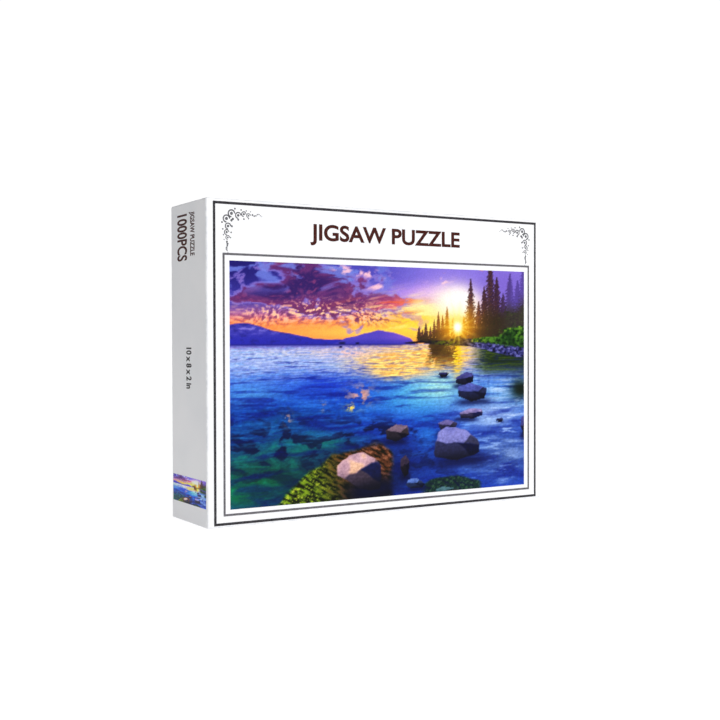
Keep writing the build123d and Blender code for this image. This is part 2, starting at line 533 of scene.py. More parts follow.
class SunsetLake:
    """A painter of a lake at sunset, for any points of a landscape picture.

    Points are given as u, from 0 at the left to 1 at the right, and v, from 0 at the top to 1 at
    the bottom. It paints from far to near, in sRGB.
    """

    SHORE = 0.335
    SUN = (0.745, 0.262)
    ASPECT = 1.51
    ROCKS = (
        Rock(0.693, 0.475, 0.019, 0.013, "3a3a68", "0e1230", 1),
        Rock(0.772, 0.497, 0.036, 0.033, "4c4c84", "0e1234", 2, 0.2),
        Rock(0.800, 0.558, 0.064, 0.044, "545c9c", "10143c", 3, -0.1),
        Rock(0.795, 0.655, 0.046, 0.028, "8c80ac", "1c2056", 4, 0.4),
        Rock(0.706, 0.706, 0.035, 0.030, "6c6494", "0e1234", 5),
        Rock(0.905, 0.690, 0.015, 0.010, "34386c", "101438", 6),
        Rock(0.742, 0.792, 0.096, 0.080, "7c7cb4", "10164a", 7, -0.15),
        Rock(1.005, 0.720, 0.020, 0.050, "4c4c84", "10143c", 8),
        Rock(0.528, 0.726, 0.044, 0.040, "7a6878", "14122e", 9, 0.15),
        Rock(0.556, 0.872, 0.018, 0.050, "4a3c50", "0e1030", 10),
        Rock(0.590, 0.955, 0.034, 0.026, "5c74b0", "0e1c44", 11, -0.3),
        Rock(0.700, 1.000, 0.040, 0.022, "54747c", "10282c", 12),
    )
    TREES = (
        Tree(0.606, 0.262, 0.320, 0.014, 1),
        Tree(0.618, 0.275, 0.320, 0.011, 2),
        Tree(0.630, 0.246, 0.320, 0.014, 3),
        Tree(0.646, 0.262, 0.318, 0.011, 18),
        Tree(0.660, 0.232, 0.316, 0.013, 4),
        Tree(0.675, 0.200, 0.316, 0.015, 5),
        Tree(0.690, 0.212, 0.314, 0.014, 6),
        Tree(0.706, 0.178, 0.314, 0.017, 7),
        Tree(0.728, 0.225, 0.310, 0.011, 8),
        Tree(0.768, 0.215, 0.305, 0.014, 19),
        Tree(0.794, 0.055, 0.300, 0.033, 9),
        Tree(0.824, 0.150, 0.300, 0.026, 10),
        Tree(0.845, 0.085, 0.290, 0.030, 13),
        Tree(0.868, -0.02, 0.290, 0.044, 11),
        Tree(0.893, 0.040, 0.280, 0.036, 12),
        Tree(0.918, 0.110, 0.260, 0.028, 15),
        Tree(0.944, 0.020, 0.250, 0.036, 14),
        Tree(0.974, 0.050, 0.240, 0.036, 16),
        Tree(1.000, -0.04, 0.240, 0.040, 17),
    )

    # far rocks that just clear the water: across, down, half width
    SKERRIES = ((0.345, 0.3315, 0.010), (0.395, 0.333, 0.006), (0.34, 0.349, 0.005))

    def colour(self, u: Array, v: Array) -> Array:
        """Paints the picture.

        Args:
            u: how far each point is across.
            v: how far it is down.

        Returns:
            An sRGB colour for each point.
        """
        self.u, self.v, self.x = u, v, u * self.ASPECT
        out = self.sky()
        for paint in (self.water, self.hills, self.bank, self.trees, self.sun, self.mound, self.rocks):
            out = paint(out)
        return self.graded(out)

    @staticmethod
    def graded(out: Array) -> Array:
        """Makes the colours richer and the darks deeper, as a calendar printer does.

        Args:
            out: the paint so far.

        Returns:
            The new paint.
        """
        out = np.clip(out, 0, 1)
        grey = out.mean(-1, keepdims=True)
        out = np.clip(grey + (out - grey) * 1.02, 0, 1)
        out = out * 0.5 + step(0.0, 1.0, out) * 0.5
        return out * (0.84 + 0.16 * step(0.0, 0.8, out.max(-1)))[..., None]

    @staticmethod
    def lay(under: Array, colour: str | Array, cover: Array) -> Array:
        """Lays a colour over what is painted so far.

        Args:
            under: the paint so far.
            colour: a hex colour, or a colour for each point.
            cover: how well it covers, from 0 to 1.

        Returns:
            The new paint.
        """
        colour = swatch(colour) if isinstance(colour, str) else colour
        return under + (colour - under) * np.clip(cover, 0, 1)[..., None]

    def coats(self, under: Array, *rows: tuple[str | Array, Array]) -> Array:
        """Lays colours one over another, each given as its colour and its cover.

        Args:
            under: the paint so far.
            rows: for each coat, its colour and its cover.

        Returns:
            The new paint.
        """
        for colour, cover in rows:
            under = self.lay(under, colour, cover)
        return under

    def daubs(self, under: Array, *rows: tuple) -> Array:
        """Lays soft spots of colour, each given as its colour, its cover and then as a blob is.

        Args:
            under: the paint so far.
            rows: for each spot, its colour, its cover and then what blob takes.

        Returns:
            The new paint.
        """
        for colour, cover, *spot in rows:
            under = self.lay(under, colour, cover * self.blob(*spot))
        return under

    def blob(self, u: float, v: float, wide: float, tall: float, lean: float = 0.0) -> Array:
        """A soft round spot.

        Args:
            u: its middle, across.
            v: its middle, down.
            wide: how far it reaches across.
            tall: how far it reaches down.
            lean: tips it.

        Returns:
            Its strength at each point, 1 in the middle.
        """
        du, dv = self.u - u, self.v - v
        a, b = du + lean * dv, dv - lean * du
        return np.exp(-((a / wide) ** 2 + (b / tall) ** 2))

    def blobs(self, *rows: tuple[float, ...]) -> Array:
        """Adds up soft spots, each given as its strength and then as a blob is."""
        return sum(strength * self.blob(*spot) for strength, *spot in rows)

    @staticmethod
    def rough(along: Array, seed: int, height: float, shift: float = 0.0) -> Array:
        """A ragged line's rise and fall along its length, about as high as height."""
        return height * (fractal(along, along * 0 + shift, seed) - 0.5)

    def plain(self, code: str) -> Array:
        """One hex colour at every point."""
        return np.zeros(self.u.shape + (3,)) + swatch(code)

    def sky(self) -> Array:
        """The evening sky with its clouds and glow.

        Returns:
            The new paint.
        """
        u, v, x = self.u, self.v, self.x
        sky = self.coats(
            self.plain("5450a8"),
            ("2c2474", step(0.40, 0.02, u) * step(0.24, 0.0, v)),
            ("8474cc", step(0.40, 0.70, u) * step(0.30, 0.0, v)),
        )
        sky = self.daubs(
            sky,
            ("a284e0", 0.9, 0.62, 0.13, 0.22, 0.05),
            ("d6a8e4", 0.7, 0.66, 0.115, 0.10, 0.045),
            ("7c68bc", 0.9, 0.93, 0.06, 0.10, 0.10),
        )
        sky = self.coats(
            sky,
            ("c87890", step(0.15, 0.25, v + 0.05 * u) * step(0.95, 0.7, u)),
            ("f58a50", step(0.205, 0.265, v + 0.02 * u) * step(0.95, 0.7, u)),
        )
        sky = self.daubs(
            sky,
            ("ffb458", 1.0, 0.42, 0.285, 0.22, 0.03),
            ("ffc848", 1.1, 0.62, 0.245, 0.17, 0.075),
        )
        wx = x + 0.10 * (noise(x * 6, v * 9, 31) - 0.5)
        wv = v + 0.035 * (noise(x * 7 + 4, v * 11, 33) - 0.5)
        n = fractal(wx * 5.0 + 1.1, wv * 12.0, 41, 6)
        n2 = fractal(wx * 16.0, wv * 34.0, 47, 5)
        mass = self.blobs(
            (1.20, 0.25, 0.105, 0.16, 0.060, -0.22),
            (1.1, 0.40, 0.165, 0.15, 0.046, -0.1),
            (0.85, 0.10, 0.125, 0.11, 0.034, -0.2),
            (0.75, 0.13, 0.02, 0.09, 0.028),
            (0.95, 0.24, 0.03, 0.06, 0.045),
            (0.7, 0.33, 0.035, 0.04, 0.03),
            (0.6, 0.57, 0.15, 0.11, 0.024, 0.1),
            (0.35, 0.02, 0.06, 0.05, 0.03),
        )
        cloud = mass + (n - 0.5) * 1.7 + (n2 - 0.5) * 0.9
        body = step(0.36, 0.66, cloud)
        tone = self.coats(
            self.plain("6c3a74"),
            ("42286a", step(0.75, 1.4, cloud + 1.2 * (n2 - 0.5))),
            ("8c4878", step(0.55, 0.72, n2) * 0.8),
            ("803c6c", step(0.13, 0.2, v) * 0.8),
            ("c85a70", step(0.36, 0.54, u) * step(0.10, 0.18, v)),
            ("f48c5c", step(0.48, 0.64, u)),
        )
        sky = self.lay(sky, tone, body * 0.96)
        edge = step(0.26, 0.42, cloud) * step(0.66, 0.48, cloud)
        sky = self.lay(sky, "8c7cc4", edge * 0.7 * step(0.75, 0.5, u))
        veil = fractal(wx * 9 + 3, wv * 20, 67, 5)
        sky = self.lay(sky, "7482cc", step(0.50, 0.64, veil) * step(0.16, 0.06, v) * step(0.62, 0.4, u) * 0.8)
        flock = fractal(wx * 40, wv * 74, 53, 4)
        low = self.blobs((1.0, 0.20, 0.205, 0.24, 0.042, -0.12), (1.0, 0.42, 0.225, 0.12, 0.03))
        sky = self.coats(
            sky,
            ("74406c", step(0.50, 0.64, 1 - flock) * low * 0.9),
            ("f6b898", step(0.52, 0.66, flock) * low * 1.1),
        )
        puffs = fractal(wx * 20, wv * 40, 59, 5)
        white_tops = self.blobs(
            (1.0, 0.43, 0.035, 0.06, 0.022),
            (1.0, 0.345, 0.02, 0.03, 0.02),
            (1.0, 0.46, 0.09, 0.04, 0.016),
            (0.9, 0.68, 0.058, 0.045, 0.018),
        )
        sky = self.lay(sky, "f0b8c4", step(0.50, 0.70, puffs) * white_tops)
        streak = fractal(x * 4.5, v * 34 + x * 4, 61, 5)
        sky = self.coats(
            sky,
            ("ffe490", step(0.50, 0.66, streak) * self.blob(0.58, 0.20, 0.17, 0.07)),
            ("e0683c", step(0.54, 0.68, 1 - streak) * self.blob(0.52, 0.175, 0.15, 0.035) * 0.8),
            ("fff0a0", self.blob(0.605, 0.165, 0.03, 0.03) * 0.6),
        )
        glow = self.blob(0.735, 0.20, 0.085, 0.085)
        sky = self.lay(sky, "ffd884", glow * 0.95)
        halo = self.blob(0.745, 0.155, 0.085, 0.075, lean=0.35)
        sky = self.coats(
            sky,
            ("fff2ec", halo * 1.25),
            ("ffffff", self.blob(0.755, 0.165, 0.045, 0.06) * 1.2),
        )
        return sky

    def hills(self, out: Array) -> Array:
        """Two ranges of far hills and their shore.

        Args:
            out: the paint so far.

        Returns:
            The new paint.
        """
        u, v, x = self.u, self.v, self.x
        far = 0.262 + 0.055 * step(0.0, 0.33, u) - 0.016 * np.exp(-(((u - 0.05) / 0.05) ** 2))
        far = far + self.rough(x * 9, 71, 0.012)
        mid = 0.318 - 0.040 * np.exp(-(((u - 0.47) / 0.085) ** 2)) + self.rough(x * 13, 73, 0.012, 4)
        mid = mid + 0.03 * step(0.36, 0.28, u) + 0.1 * step(0.57, 0.64, u)
        tex = fractal(x * 24, v * 60, 75)
        shore = self.SHORE + 0.004
        above = step(shore + 0.002, shore - 0.002, v)
        body = self.coats(
            self.plain("4844a0"),
            ("3434a0", step(0.27, 0.33, v)),
            ("8078c8", step(0.5, 0.75, tex) * step(0.31, 0.265, v)),
            ("2c2a78", step(0.55, 0.7, 1 - tex) * 0.5),
        )
        out = self.lay(out, body, step(far - 0.002, far + 0.003, v) * above * step(0.42, 0.34, u))
        near = self.coats(
            self.plain("5a4cae"),
            ("7a58b8", step(0.45, 0.58, u)),
            ("3c3aa0", step(0.305, 0.335, v) * 0.7),
        )
        out = self.coats(
            out,
            (near, step(mid - 0.002, mid + 0.003, v) * above),
            ("2a2a78", np.exp(-((v - self.SHORE - 0.004) / 0.0035) ** 2) * step(0.62, 0.5, u) * 0.75),
        )
        for su, sv, sw in self.SKERRIES:
            out = self.lay(out, "1c1c50", np.exp(-((u - su) / sw) ** 4 - ((v - sv) / 0.0045) ** 4))
        return out

    def water(self, out: Array) -> Array:
        """The lake: ripples, shallows, reflections and the sun's path.

        Args:
            out: the paint so far.

        Returns:
            The new paint.
        """
        u, v, x = self.u, self.v, self.x
        w = self.SHORE
        d = np.clip((v - w) / (1 - w), 0, 1)
        deep = np.log(0.05 + d)
        bend = 0.10 * (noise(x * 5, v * 14, 5) - 0.5)
        wave = fractal((x + bend) * (2.6 + 0.55 / (0.05 + d)), deep * 11 + 2.2 * bend + x * 0.5, 81, 5)
        chop = fractal((x + bend) * (7 + 1.3 / (0.05 + d)), deep * 30 + x, 87, 4)
        base = self.plain("163cae")
        base = self.coats(
            base,
            ("9aa6da", step(0.36, 0.08, d) * 0.98),
            ("aa9ccc", step(0.06, 0.0, d)),
        )
        base = self.daubs(
            base,
            ("1c3cb0", 0.9, 0.29, 0.51, 0.20, 0.050),
            ("5c94d8", 0.95, 0.06, 0.54, 0.13, 0.06),
            ("1c58bc", 0.8, 0.40, 0.62, 0.25, 0.06),
            ("54a4d8", 0.98, 0.60, 0.57, 0.16, 0.085),
            ("a8e0d0", 1.0, 0.675, 0.53, 0.09, 0.070),
            ("74a4d4", 0.95, 0.90, 0.59, 0.17, 0.10),
            ("94a8dc", 0.9, 0.87, 0.665, 0.13, 0.07),
            ("5068a0", 0.98, 0.93, 0.86, 0.18, 0.15),
            ("1c3884", 0.9, 0.50, 0.86, 0.30, 0.15),
            ("2f7cc4", 0.6, 0.635, 0.72, 0.05, 0.10),
            ("0f4886", 0.85, 0.14, 0.66, 0.24, 0.08),
            ("165e54", 1.0, 0.10, 0.86, 0.26, 0.13),
            ("149070", 0.75, 0.25, 0.755, 0.12, 0.035),
            ("0c8448", 0.95, 0.07, 0.94, 0.15, 0.07),
        )
        stones = fractal((x + bend) * 9, (v + 0.3 * bend) * 21, 91, 4)
        shallow = self.blobs(
            (1.0, 0.12, 0.76, 0.27, 0.15), (1.0, 0.48, 0.72, 0.16, 0.05), (0.6, 0.6, 0.88, 0.2, 0.1)
        )
        shallow = np.clip(shallow, 0, 1)
        base = self.coats(
            base,
            ("081646", step(0.50, 0.60, stones) * shallow * 0.88),
            ("22a880", step(0.58, 0.72, 1 - stones) * self.blob(0.12, 0.83, 0.24, 0.13) * 0.5),
            ("0c1c78", step(0.50, 0.72, 1 - wave) * 0.55 * step(0.02, 0.12, d)),
        )
        bright = self.coats(
            self.plain("4c88dc"),
            ("b4c8ee", step(0.6, 0.95, u)),
            ("24a890", self.blob(0.12, 0.85, 0.25, 0.15)),
        )
        calm = 1 - 0.5 * step(0.55, 0.85, d)
        base = self.coats(
            base,
            ("bcc8ec", step(0.44, 0.60, chop) * step(0.30, 0.06, d) * 0.8),
            (bright, step(0.52, 0.72, wave) * (0.30 + 0.3 * step(0.6, 0.9, u)) * calm),
            (bright * 1.1, step(0.56, 0.74, chop) * (0.28 + 0.25 * step(0.6, 0.9, u)) * calm),
            ("5450a8", step(0.045, 0.0, d) * step(0.66, 0.5, u) * 0.9),
            ("c4bcc0", self.blob(0.24, 0.372, 0.16, 0.014) * step(0.4, 0.55, chop) * 0.7),
        )
        path_of_gold = self.blobs(
            (1.15, 0.535, 0.405, 0.13, 0.050), (1.0, 0.71, 0.385, 0.10, 0.055), (0.8, 0.53, 0.455, 0.07, 0.03)
        )
        gold = np.clip(path_of_gold, 0, 1) * (0.55 + 0.9 * step(0.36, 0.60, wave * 0.6 + chop * 0.4))
        base = self.coats(
            base,
            ("eca85c", gold),
            ("ffdc80", gold * step(0.42, 0.66, chop) * 0.95),
            ("e0b4b4", self.blob(0.37, 0.372, 0.10, 0.020) * step(0.38, 0.6, chop) * 0.9),
        )
        path = np.exp(-((u - 0.745) / (0.012 + 0.02 * d)) ** 2) * step(0.56, 0.36, v)
        base = self.lay(base, "ffc830", path * (0.55 + step(0.4, 0.6, chop)))
        comb = fractal(x * 26 + 2 * (chop - 0.5), v * 4, 97, 3)
        shade = step(0.45, 0.60, comb) * step(0.58, 0.66, u) * step(0.48, 0.36, v) * step(0.79, 0.72, u)
        base = self.lay(base, "34240f", shade * 0.85)
        mossy = step(0.78, 0.87, u + 0.05 * (chop - 0.5))
        mossy = mossy * step(0.51, 0.41, v - 0.03 * (u - 0.8) - 0.03 * (wave - 0.5))
        base = self.coats(
            base,
            ("1c3010", mossy * 0.92),
            ("647818", mossy * step(0.48, 0.62, wave) * 0.5),
            ("1c2c60", mossy * step(0.52, 0.66, chop) * 0.7),
            ("0c2010", self.blob(0.985, 0.55, 0.04, 0.05) * 0.95),
        )
        glint = fractal(x * 26, v * 44, 101, 4)
        spots = self.blobs(
            (1.0, 0.405, 0.555, 0.045, 0.045, 0.3),
            (0.8, 0.172, 0.645, 0.014, 0.03),
            (0.6, 0.285, 0.60, 0.012, 0.025),
            (0.5, 0.345, 0.565, 0.015, 0.012),
        )
        base = self.coats(
            base,
            ("dc9c84", step(0.44, 0.60, glint) * spots * 0.9),
            ("f0cc60", step(0.50, 0.62, glint) * self.blob(0.375, 0.61, 0.02, 0.014)),
        )
        fine = fractal(x * 55, v * 130, 103, 3)
        base = base * (0.84 + 0.3 * fine)[..., None]
        return self.lay(out, base, step(w - 0.001, w + 0.002, v))

    def bank(self, out: Array) -> Array:
        """The near bank with its stones and bushes.

        Args:
            out: the paint so far.

        Returns:
            The new paint.
        """
        u, v, x = self.u, self.v, self.x
        edge = 0.335 + 0.012 * step(0.6, 0.75, u) + 0.055 * step(0.76, 1.0, u)
        edge = edge + self.rough(x * 20, 111, 0.008)
        top = 0.330 - 0.018 * step(0.55, 0.66, u) - 0.015 * step(0.66, 0.8, u) + self.rough(x * 26, 113, 0.01)
        land = step(top - 0.002, top + 0.003, v) * step(edge + 0.002, edge - 0.003, v) * step(0.545, 0.56, u)
        grit = fractal(x * 44, v * 80, 115, 4)
        body = self.coats(
            self.plain("241c30"),
            ("4c5c1c", step(0.62, 0.70, u) * step(0.80, 0.70, u) * step(0.4, 0.6, grit)),
            ("3c3c74", step(0.74, 0.82, u)),
            ("7878b4", step(0.52, 0.64, grit) * step(0.74, 0.82, u) * 0.8),
            ("12122e", step(0.55, 0.66, 1 - grit) * 0.9),
        )
        out = self.lay(out, body, land)
        # bushes
        leaf = fractal(x * 55, v * 70, 117, 4)
        clump = fractal(x * 15, v * 18, 119, 3)
        crown = 0.285 - 0.095 * step(0.81, 0.93, u) - 0.012 * step(0.93, 1.0, u) + 0.03 * step(0.82, 0.79, u)
        crown = crown + 0.03 * (leaf - 0.5) + 0.06 * (clump - 0.5)
        foot = 0.332 + 0.022 * step(0.82, 1.0, u) + 0.012 * (leaf - 0.5)
        bush = step(crown - 0.004, crown + 0.006, v) * step(foot + 0.004, foot - 0.006, v)
        bush = bush * step(0.785, 0.81, u)
        green = self.coats(
            self.plain("24481c"),
            ("567f2e", step(0.36, 0.66, 0.5 * leaf + 0.6 * clump - 1.4 * (v - 0.25))),
            ("d0c838", step(0.86, 0.79, u) * step(0.5, 0.65, leaf) * 0.7),
            ("0c2c0a", step(0.53, 0.68, 1 - leaf) * 0.85),
            ("94a848", step(0.60, 0.76, leaf) * step(0.31, 0.24, v) * 0.8),
        )
        out = self.lay(out, green, bush)
        under = self.blob(0.88, 0.235, 0.09, 0.03) * step(0.4, 0.6, clump)
        return self.lay(out, "4a2c10", under * 0.5 * (1 - bush))

    def trees(self, out: Array) -> Array:
        """The spruces on the bank.

        Args:
            out: the paint so far.

        Returns:
            The new paint.
        """
        u, v = self.u, self.v
        for tree in self.TREES:
            t = (v - tree.top) / (tree.foot - tree.top)
            near = (np.abs(u - tree.u) < 2.2 * tree.spread) & (t > -0.05) & (t < 1.05)
            if not near.any():
                continue
            tu, tv, tt = u[near], v[near], np.clip(t[near], 0, 1)
            tiers = 9 + 3 * (tree.seed % 3)
            tooth = np.abs(((tt * tiers + noise(tu * 90, tv * 0, tree.seed)) % 1.0) - 0.15)
            ragged = 0.55 + 0.55 * tooth + 0.6 * (noise(tu * 300, tv * 260, tree.seed + 3) - 0.3)
            reach = tree.spread * (0.10 + 0.85 * tt**0.8) * ragged
            across = np.abs(tu - tree.u - 0.10 * tree.spread * (noise(tv * 40, tv * 0, tree.seed + 7) - 0.5))
            cover = step(reach + 0.0012, reach - 0.0018, across)
            sparse = fractal(tu * 150, tv * 190, tree.seed + 11, 3)
            cover = cover * (1 - 0.6 * step(0.50, 0.62, sparse) * step(0.003, 0.012, across))
            trunk = step(0.0016, 0.0009, across) * step(0.0, 0.03, tt) * step(1.0, 0.96, tt)
            cover = np.maximum(cover, trunk)
            warm = np.exp(-(((tu - self.SUN[0]) / 0.075) ** 2 + ((tv - 0.25) / 0.085) ** 2))
            dark = np.zeros(tu.shape + (3,)) + swatch("442c44")
            dark = self.coats(
                dark,
                ("5a4a94", step(0.89, 0.96, tu) * 0.85),
                ("6c4430", step(0.45, 0.65, sparse) * 0.7 * step(0.95, 0.85, tu)),
                ("40381c", step(0.45, 0.8, tt) * 0.7),
                ("b06a14", warm * 0.9),
            )
            out[near] = self.lay(out[near], dark, cover * (0.95 - 0.15 * step(0.90, 0.97, tu)))
        return out

    def sun(self, out: Array) -> Array:
        """The sun with its rays.

        Args:
            out: the paint so far.

        Returns:
            The new paint.
        """
        u, v = self.u, self.v
        du, dv = (u - self.SUN[0]) * self.ASPECT, v - self.SUN[1]
        far = np.sqrt(du * du + dv * dv) + 1e-6
        angle = np.arctan2(dv, du)
        rays = 0.5 + 0.5 * np.cos(angle * 14 + 1.3 * np.sin(angle * 3))
        out = self.coats(
            out,
            ("ffb820", np.exp(-((far / 0.075) ** 1.5)) * 0.8),
            ("ffe070", np.exp(-far / 0.045) * rays**3 * 1.0),
            ("ffffe8", np.exp(-((far / 0.024) ** 2)) * 1.2),
        )
        return out

    def mound(self, out: Array) -> Array:
        """The mossy ledges in front, with the big rock on them.

        Args:
            out: the paint so far.

        Returns:
            The new paint.
        """
        u, v, x = self.u, self.v, self.x
        n = fractal(x * 9, v * 12, 131, 4)
        crest = 0.765 + 1.35 * (u - 0.45) ** 2 * np.where(u < 0.45, 1.75, 9) + 0.05 * (n - 0.5)
        sides = step(0.11, 0.17, u + 0.08 * (n - 0.5)) * step(0.525, 0.500, u + 0.03 * (n - 0.5))
        inside = step(crest - 0.006, crest + 0.016, v) * sides
        grain = fractal(x * 60 + v * 30, v * 60, 133, 4)
        streak = fractal((x * 0.8 + v * 1.0) * 20, (v - x * 0.55) * 70, 135, 4)
        tone = self.coats(
            self.plain("3a4618"),
            ("7c9428", step(0.45, 0.65, streak) * step(0.46, 0.22, u)),
            ("c8d050", step(0.60, 0.68, grain) * step(0.42, 0.20, u) * 0.6),
            ("643a28", step(0.24, 0.42, u + 0.2 * (streak - 0.5) - 0.25 * (v - 0.85)) * 0.9),
            ("a8745c", step(0.54, 0.68, streak) * step(0.28, 0.42, u) * 0.7),
            ("141808", step(0.52, 0.66, 1 - streak) * 0.85),
            ("0c1024", step(0.30, 0.42, u) * step(0.86, 0.97, v) * 0.9),
        )
        out = self.coats(
            out,
            ("0a1838", self.blob(0.34, 0.93, 0.22, 0.14) * 0.6 * (1 - inside)),
            (tone, inside),
        )
        # weedy ledge in the lower right corner
        crest2 = 0.925 + 3.0 * (u - 0.72) ** 2 + 0.02 * (n - 0.5)
        ledge = step(crest2, crest2 + 0.012, v) * step(0.60, 0.64, u) * step(0.84, 0.82, u)
        tone2 = self.coats(
            self.plain("1c3c28"),
            ("44643c", step(0.5, 0.66, grain)),
            ("0c1c30", step(0.5, 0.66, 1 - streak)),
        )
        out = self.lay(out, tone2, ledge * 0.85)
        big = Rock(0.408, 0.885, 0.078, 0.092, "b8949c", "1c2456", 20, -0.55)
        return self.rock(out, big, warm="ecb890")

    def rock(self, out: Array, rock: Rock, warm: str | None = None) -> Array:
        """Paints one rock with a lit top, a dark foot and its shade on the water.

        Args:
            out: the paint so far.
            rock: the rock.
            warm: a second colour for its lit side.

        Returns:
            The new paint.
        """
        u, v = self.u, self.v
        near = (np.abs(u - rock.u) < 2.0 * rock.wide) & (np.abs(v - rock.v) < 2.4 * rock.tall)
        if not near.any():
            return out
        ru, rv = u[near], v[near]
        a, b = (ru - rock.u) / rock.wide, (rv - rock.v) / rock.tall
        a, b = a + rock.lean * b, b - 0.35 * rock.lean * a
        far = np.zeros(a.shape)
        for number in range(9):
            angle = 2 * np.pi * (number + 0.35 * math.sin(rock.seed * 2.7 + number * 1.9)) / 9
            reach = 0.90 + 0.10 * math.sin(rock.seed * 1.7 + number * 2.3)
            far = np.maximum(far, (a * math.cos(angle) + b * math.sin(angle)) / reach)
        far = far + 0.10 * (noise(a * 3 + 5, b * 3 + 5, 200 + rock.seed) - 0.5)
        cover = step(1.03, 0.97, far)
        slant = 0.25 if rock.seed % 2 else -0.25
        ridge = -0.22 + 0.35 * (noise(a * 1.3 + 3, a * 0, 400 + rock.seed) - 0.5) + slant * a
        ridge = ridge + 0.12 * np.abs(((a * 1.7 + rock.seed * 0.37) % 1.0) - 0.5)
        grain = fractal(ru * 90, rv * 90, 500 + rock.seed, 4)
        plane = noise(a * 1.6 + 7, b * 1.6 + 7, 600 + rock.seed)
        tone = np.zeros(ru.shape + (3,)) + swatch(rock.shade)
        top = step(ridge + 0.16, ridge + 0.02, b)
        split = step(0.02, 0.10, a - 0.30 + 0.7 * b + 0.3 * math.sin(rock.seed * 3.1))
        front = (1 - top) * step(0.02, -0.06, a - 0.1 - 0.5 * b + 0.2 * (plane - 0.5))
        tone = self.coats(
            tone,
            (rock.lit, top * (0.75 + 0.5 * plane)),
            (warm or rock.lit, top * step(0.5, 0.7, plane) * 0.7),
            (swatch(rock.lit) * 0.62, front * 0.7),
        )
        tone = tone * (1 - 0.42 * split * top)[..., None]
        tone = tone * (0.62 + 0.40 * grain + 0.25 * step(0.6, -0.8, b))[..., None]
        tone = self.lay(tone, "070a20", step(0.25, 0.95, b) * 0.8)
        local = out[near]
        below = np.exp(-(a / 1.05) ** 4 - ((b - 1.0) / 0.38) ** 2)
        local = self.lay(local, "081040", below * 0.75 * (1 - cover))
        rim = step(0.86, 0.98, far) * step(0.0, -0.5, b)
        tone = self.lay(tone, rock.lit, rim * 0.4)
        out[near] = self.lay(local, tone, cover)
        return out

    def rocks(self, out: Array) -> Array:
        """All other rocks.

        Args:
            out: the paint so far.

        Returns:
            The new paint.
        """
        for rock in self.ROCKS:
            out = self.rock(out, rock)
        return out


class Side(Enum):
    """The printed sides of the lid, as (right, up, outward) for someone who looks at each."""

    PANEL = (Vector((1, 0, 0)), Vector((0, 0, 1)), Vector((0, -1, 0)))
    LEFT_END = (Vector((0, -1, 0)), Vector((0, 0, 1)), Vector((-1, 0, 0)))
    RIGHT_END = (Vector((0, 1, 0)), Vector((0, 0, 1)), Vector((1, 0, 0)))


class Ink(Enum):
    """The solid inks of the print."""

    TITLE = LineInk("title_ink_maroon", "3c1612", "502822")
    FRAME = LineInk("frame_line_ink", "2e2c30", "4a484c")
    FINE = LineInk("fine_line_ink", "5c5a5e", "77757a")
    SCROLL = LineInk("scroll_ink_grey", "5c5c60", "78787c")
    LABEL = LineInk("label_ink", "201c1e", "3a3638")


def make_piece(
    name: str, mesh: bmesh.types.BMesh, *materials: bpy.types.Material, smooth: bool = True
) -> Any:
    """Turns a bmesh into a piece of the scene, at the origin.

    Args:
        name: the piece's name.
        mesh: its shape, which is freed.
        materials: its finishes, in slot order.
        smooth: whether its faces are shaded smooth.

    Returns:
        The object.
    """
    data = bpy.data.meshes.new(name)
    mesh.to_mesh(data)
    mesh.free()
    for material in materials:
        data.materials.append(material)
    if smooth:
        data.polygons.foreach_set("use_smooth", [True] * len(data.polygons))
    return add_object(name, data)


def colour_points(piece: Any, values: Array) -> None:
    """Stores sRGB values, one row to a vertex, as the piece's "print" attribute.

    Args:
        piece: the piece.
        values: its sRGB colours, one row to a vertex.
    """
    attribute = piece.data.color_attributes.new("print", "FLOAT_COLOR", "POINT")
    colours = np.ones((len(values), 4), np.float32)
    colours[:, :3] = to_linear(values)
    attribute.data.foreach_set("color", colours.ravel())


def thicken(piece: Any, paper: float, offset: float) -> Any:
    """Gives a sheet of paper its thickness.

    Args:
        piece: the sheet.
        paper: how thick it is.
        offset: -1 to thicken it inwards, 0 to both sides.

    Returns:
        The modifier.
    """
    solid = piece.modifiers.new("paper_thickness", "SOLIDIFY")
    solid.thickness = paper
    solid.offset = offset
    return solid


@dataclass
class PrintedFace:
    """One flat side of the lid as a sheet to print on, with its own right and up in metres."""

    side: Side
    low: Vector
    high: Vector
    lift: float = 0.0

    @property
    def middle(self) -> Vector:
        """The middle of the side, on the paper.

        Returns:
            The point.
        """
        centre, half = (self.low + self.high) / 2, (self.high - self.low) / 2
        outward = self.side.value[2]
        return centre + Vector([outward[axis] * (half[axis] - self.lift) for axis in range(3)])

    @property
    def width(self) -> float:
        """How wide the side is for someone who looks at it."""
        return abs((self.high - self.low).dot(self.side.value[0]))

    @property
    def height(self) -> float:
        """How tall the side is."""
        return self.high.z - self.low.z

    def place(self, right: float = 0.0, up: float = 0.0, turned: bool = False) -> Matrix:
        """Where print goes, from flat coordinates to the frame.

        Args:
            right: the print's middle, to the right of the side's middle.
            up: the same, upwards.
            turned: whether the print is a quarter turn clockwise.

        Returns:
            The matrix.
        """
        across, rise, outward = self.side.value
        rows = Matrix((across, rise, outward)).transposed().to_4x4()
        spot = Matrix.Translation(self.middle + across * right + rise * up)
        return spot @ rows @ Matrix.Rotation(-math.pi / 2 if turned else 0.0, 4, "Z")


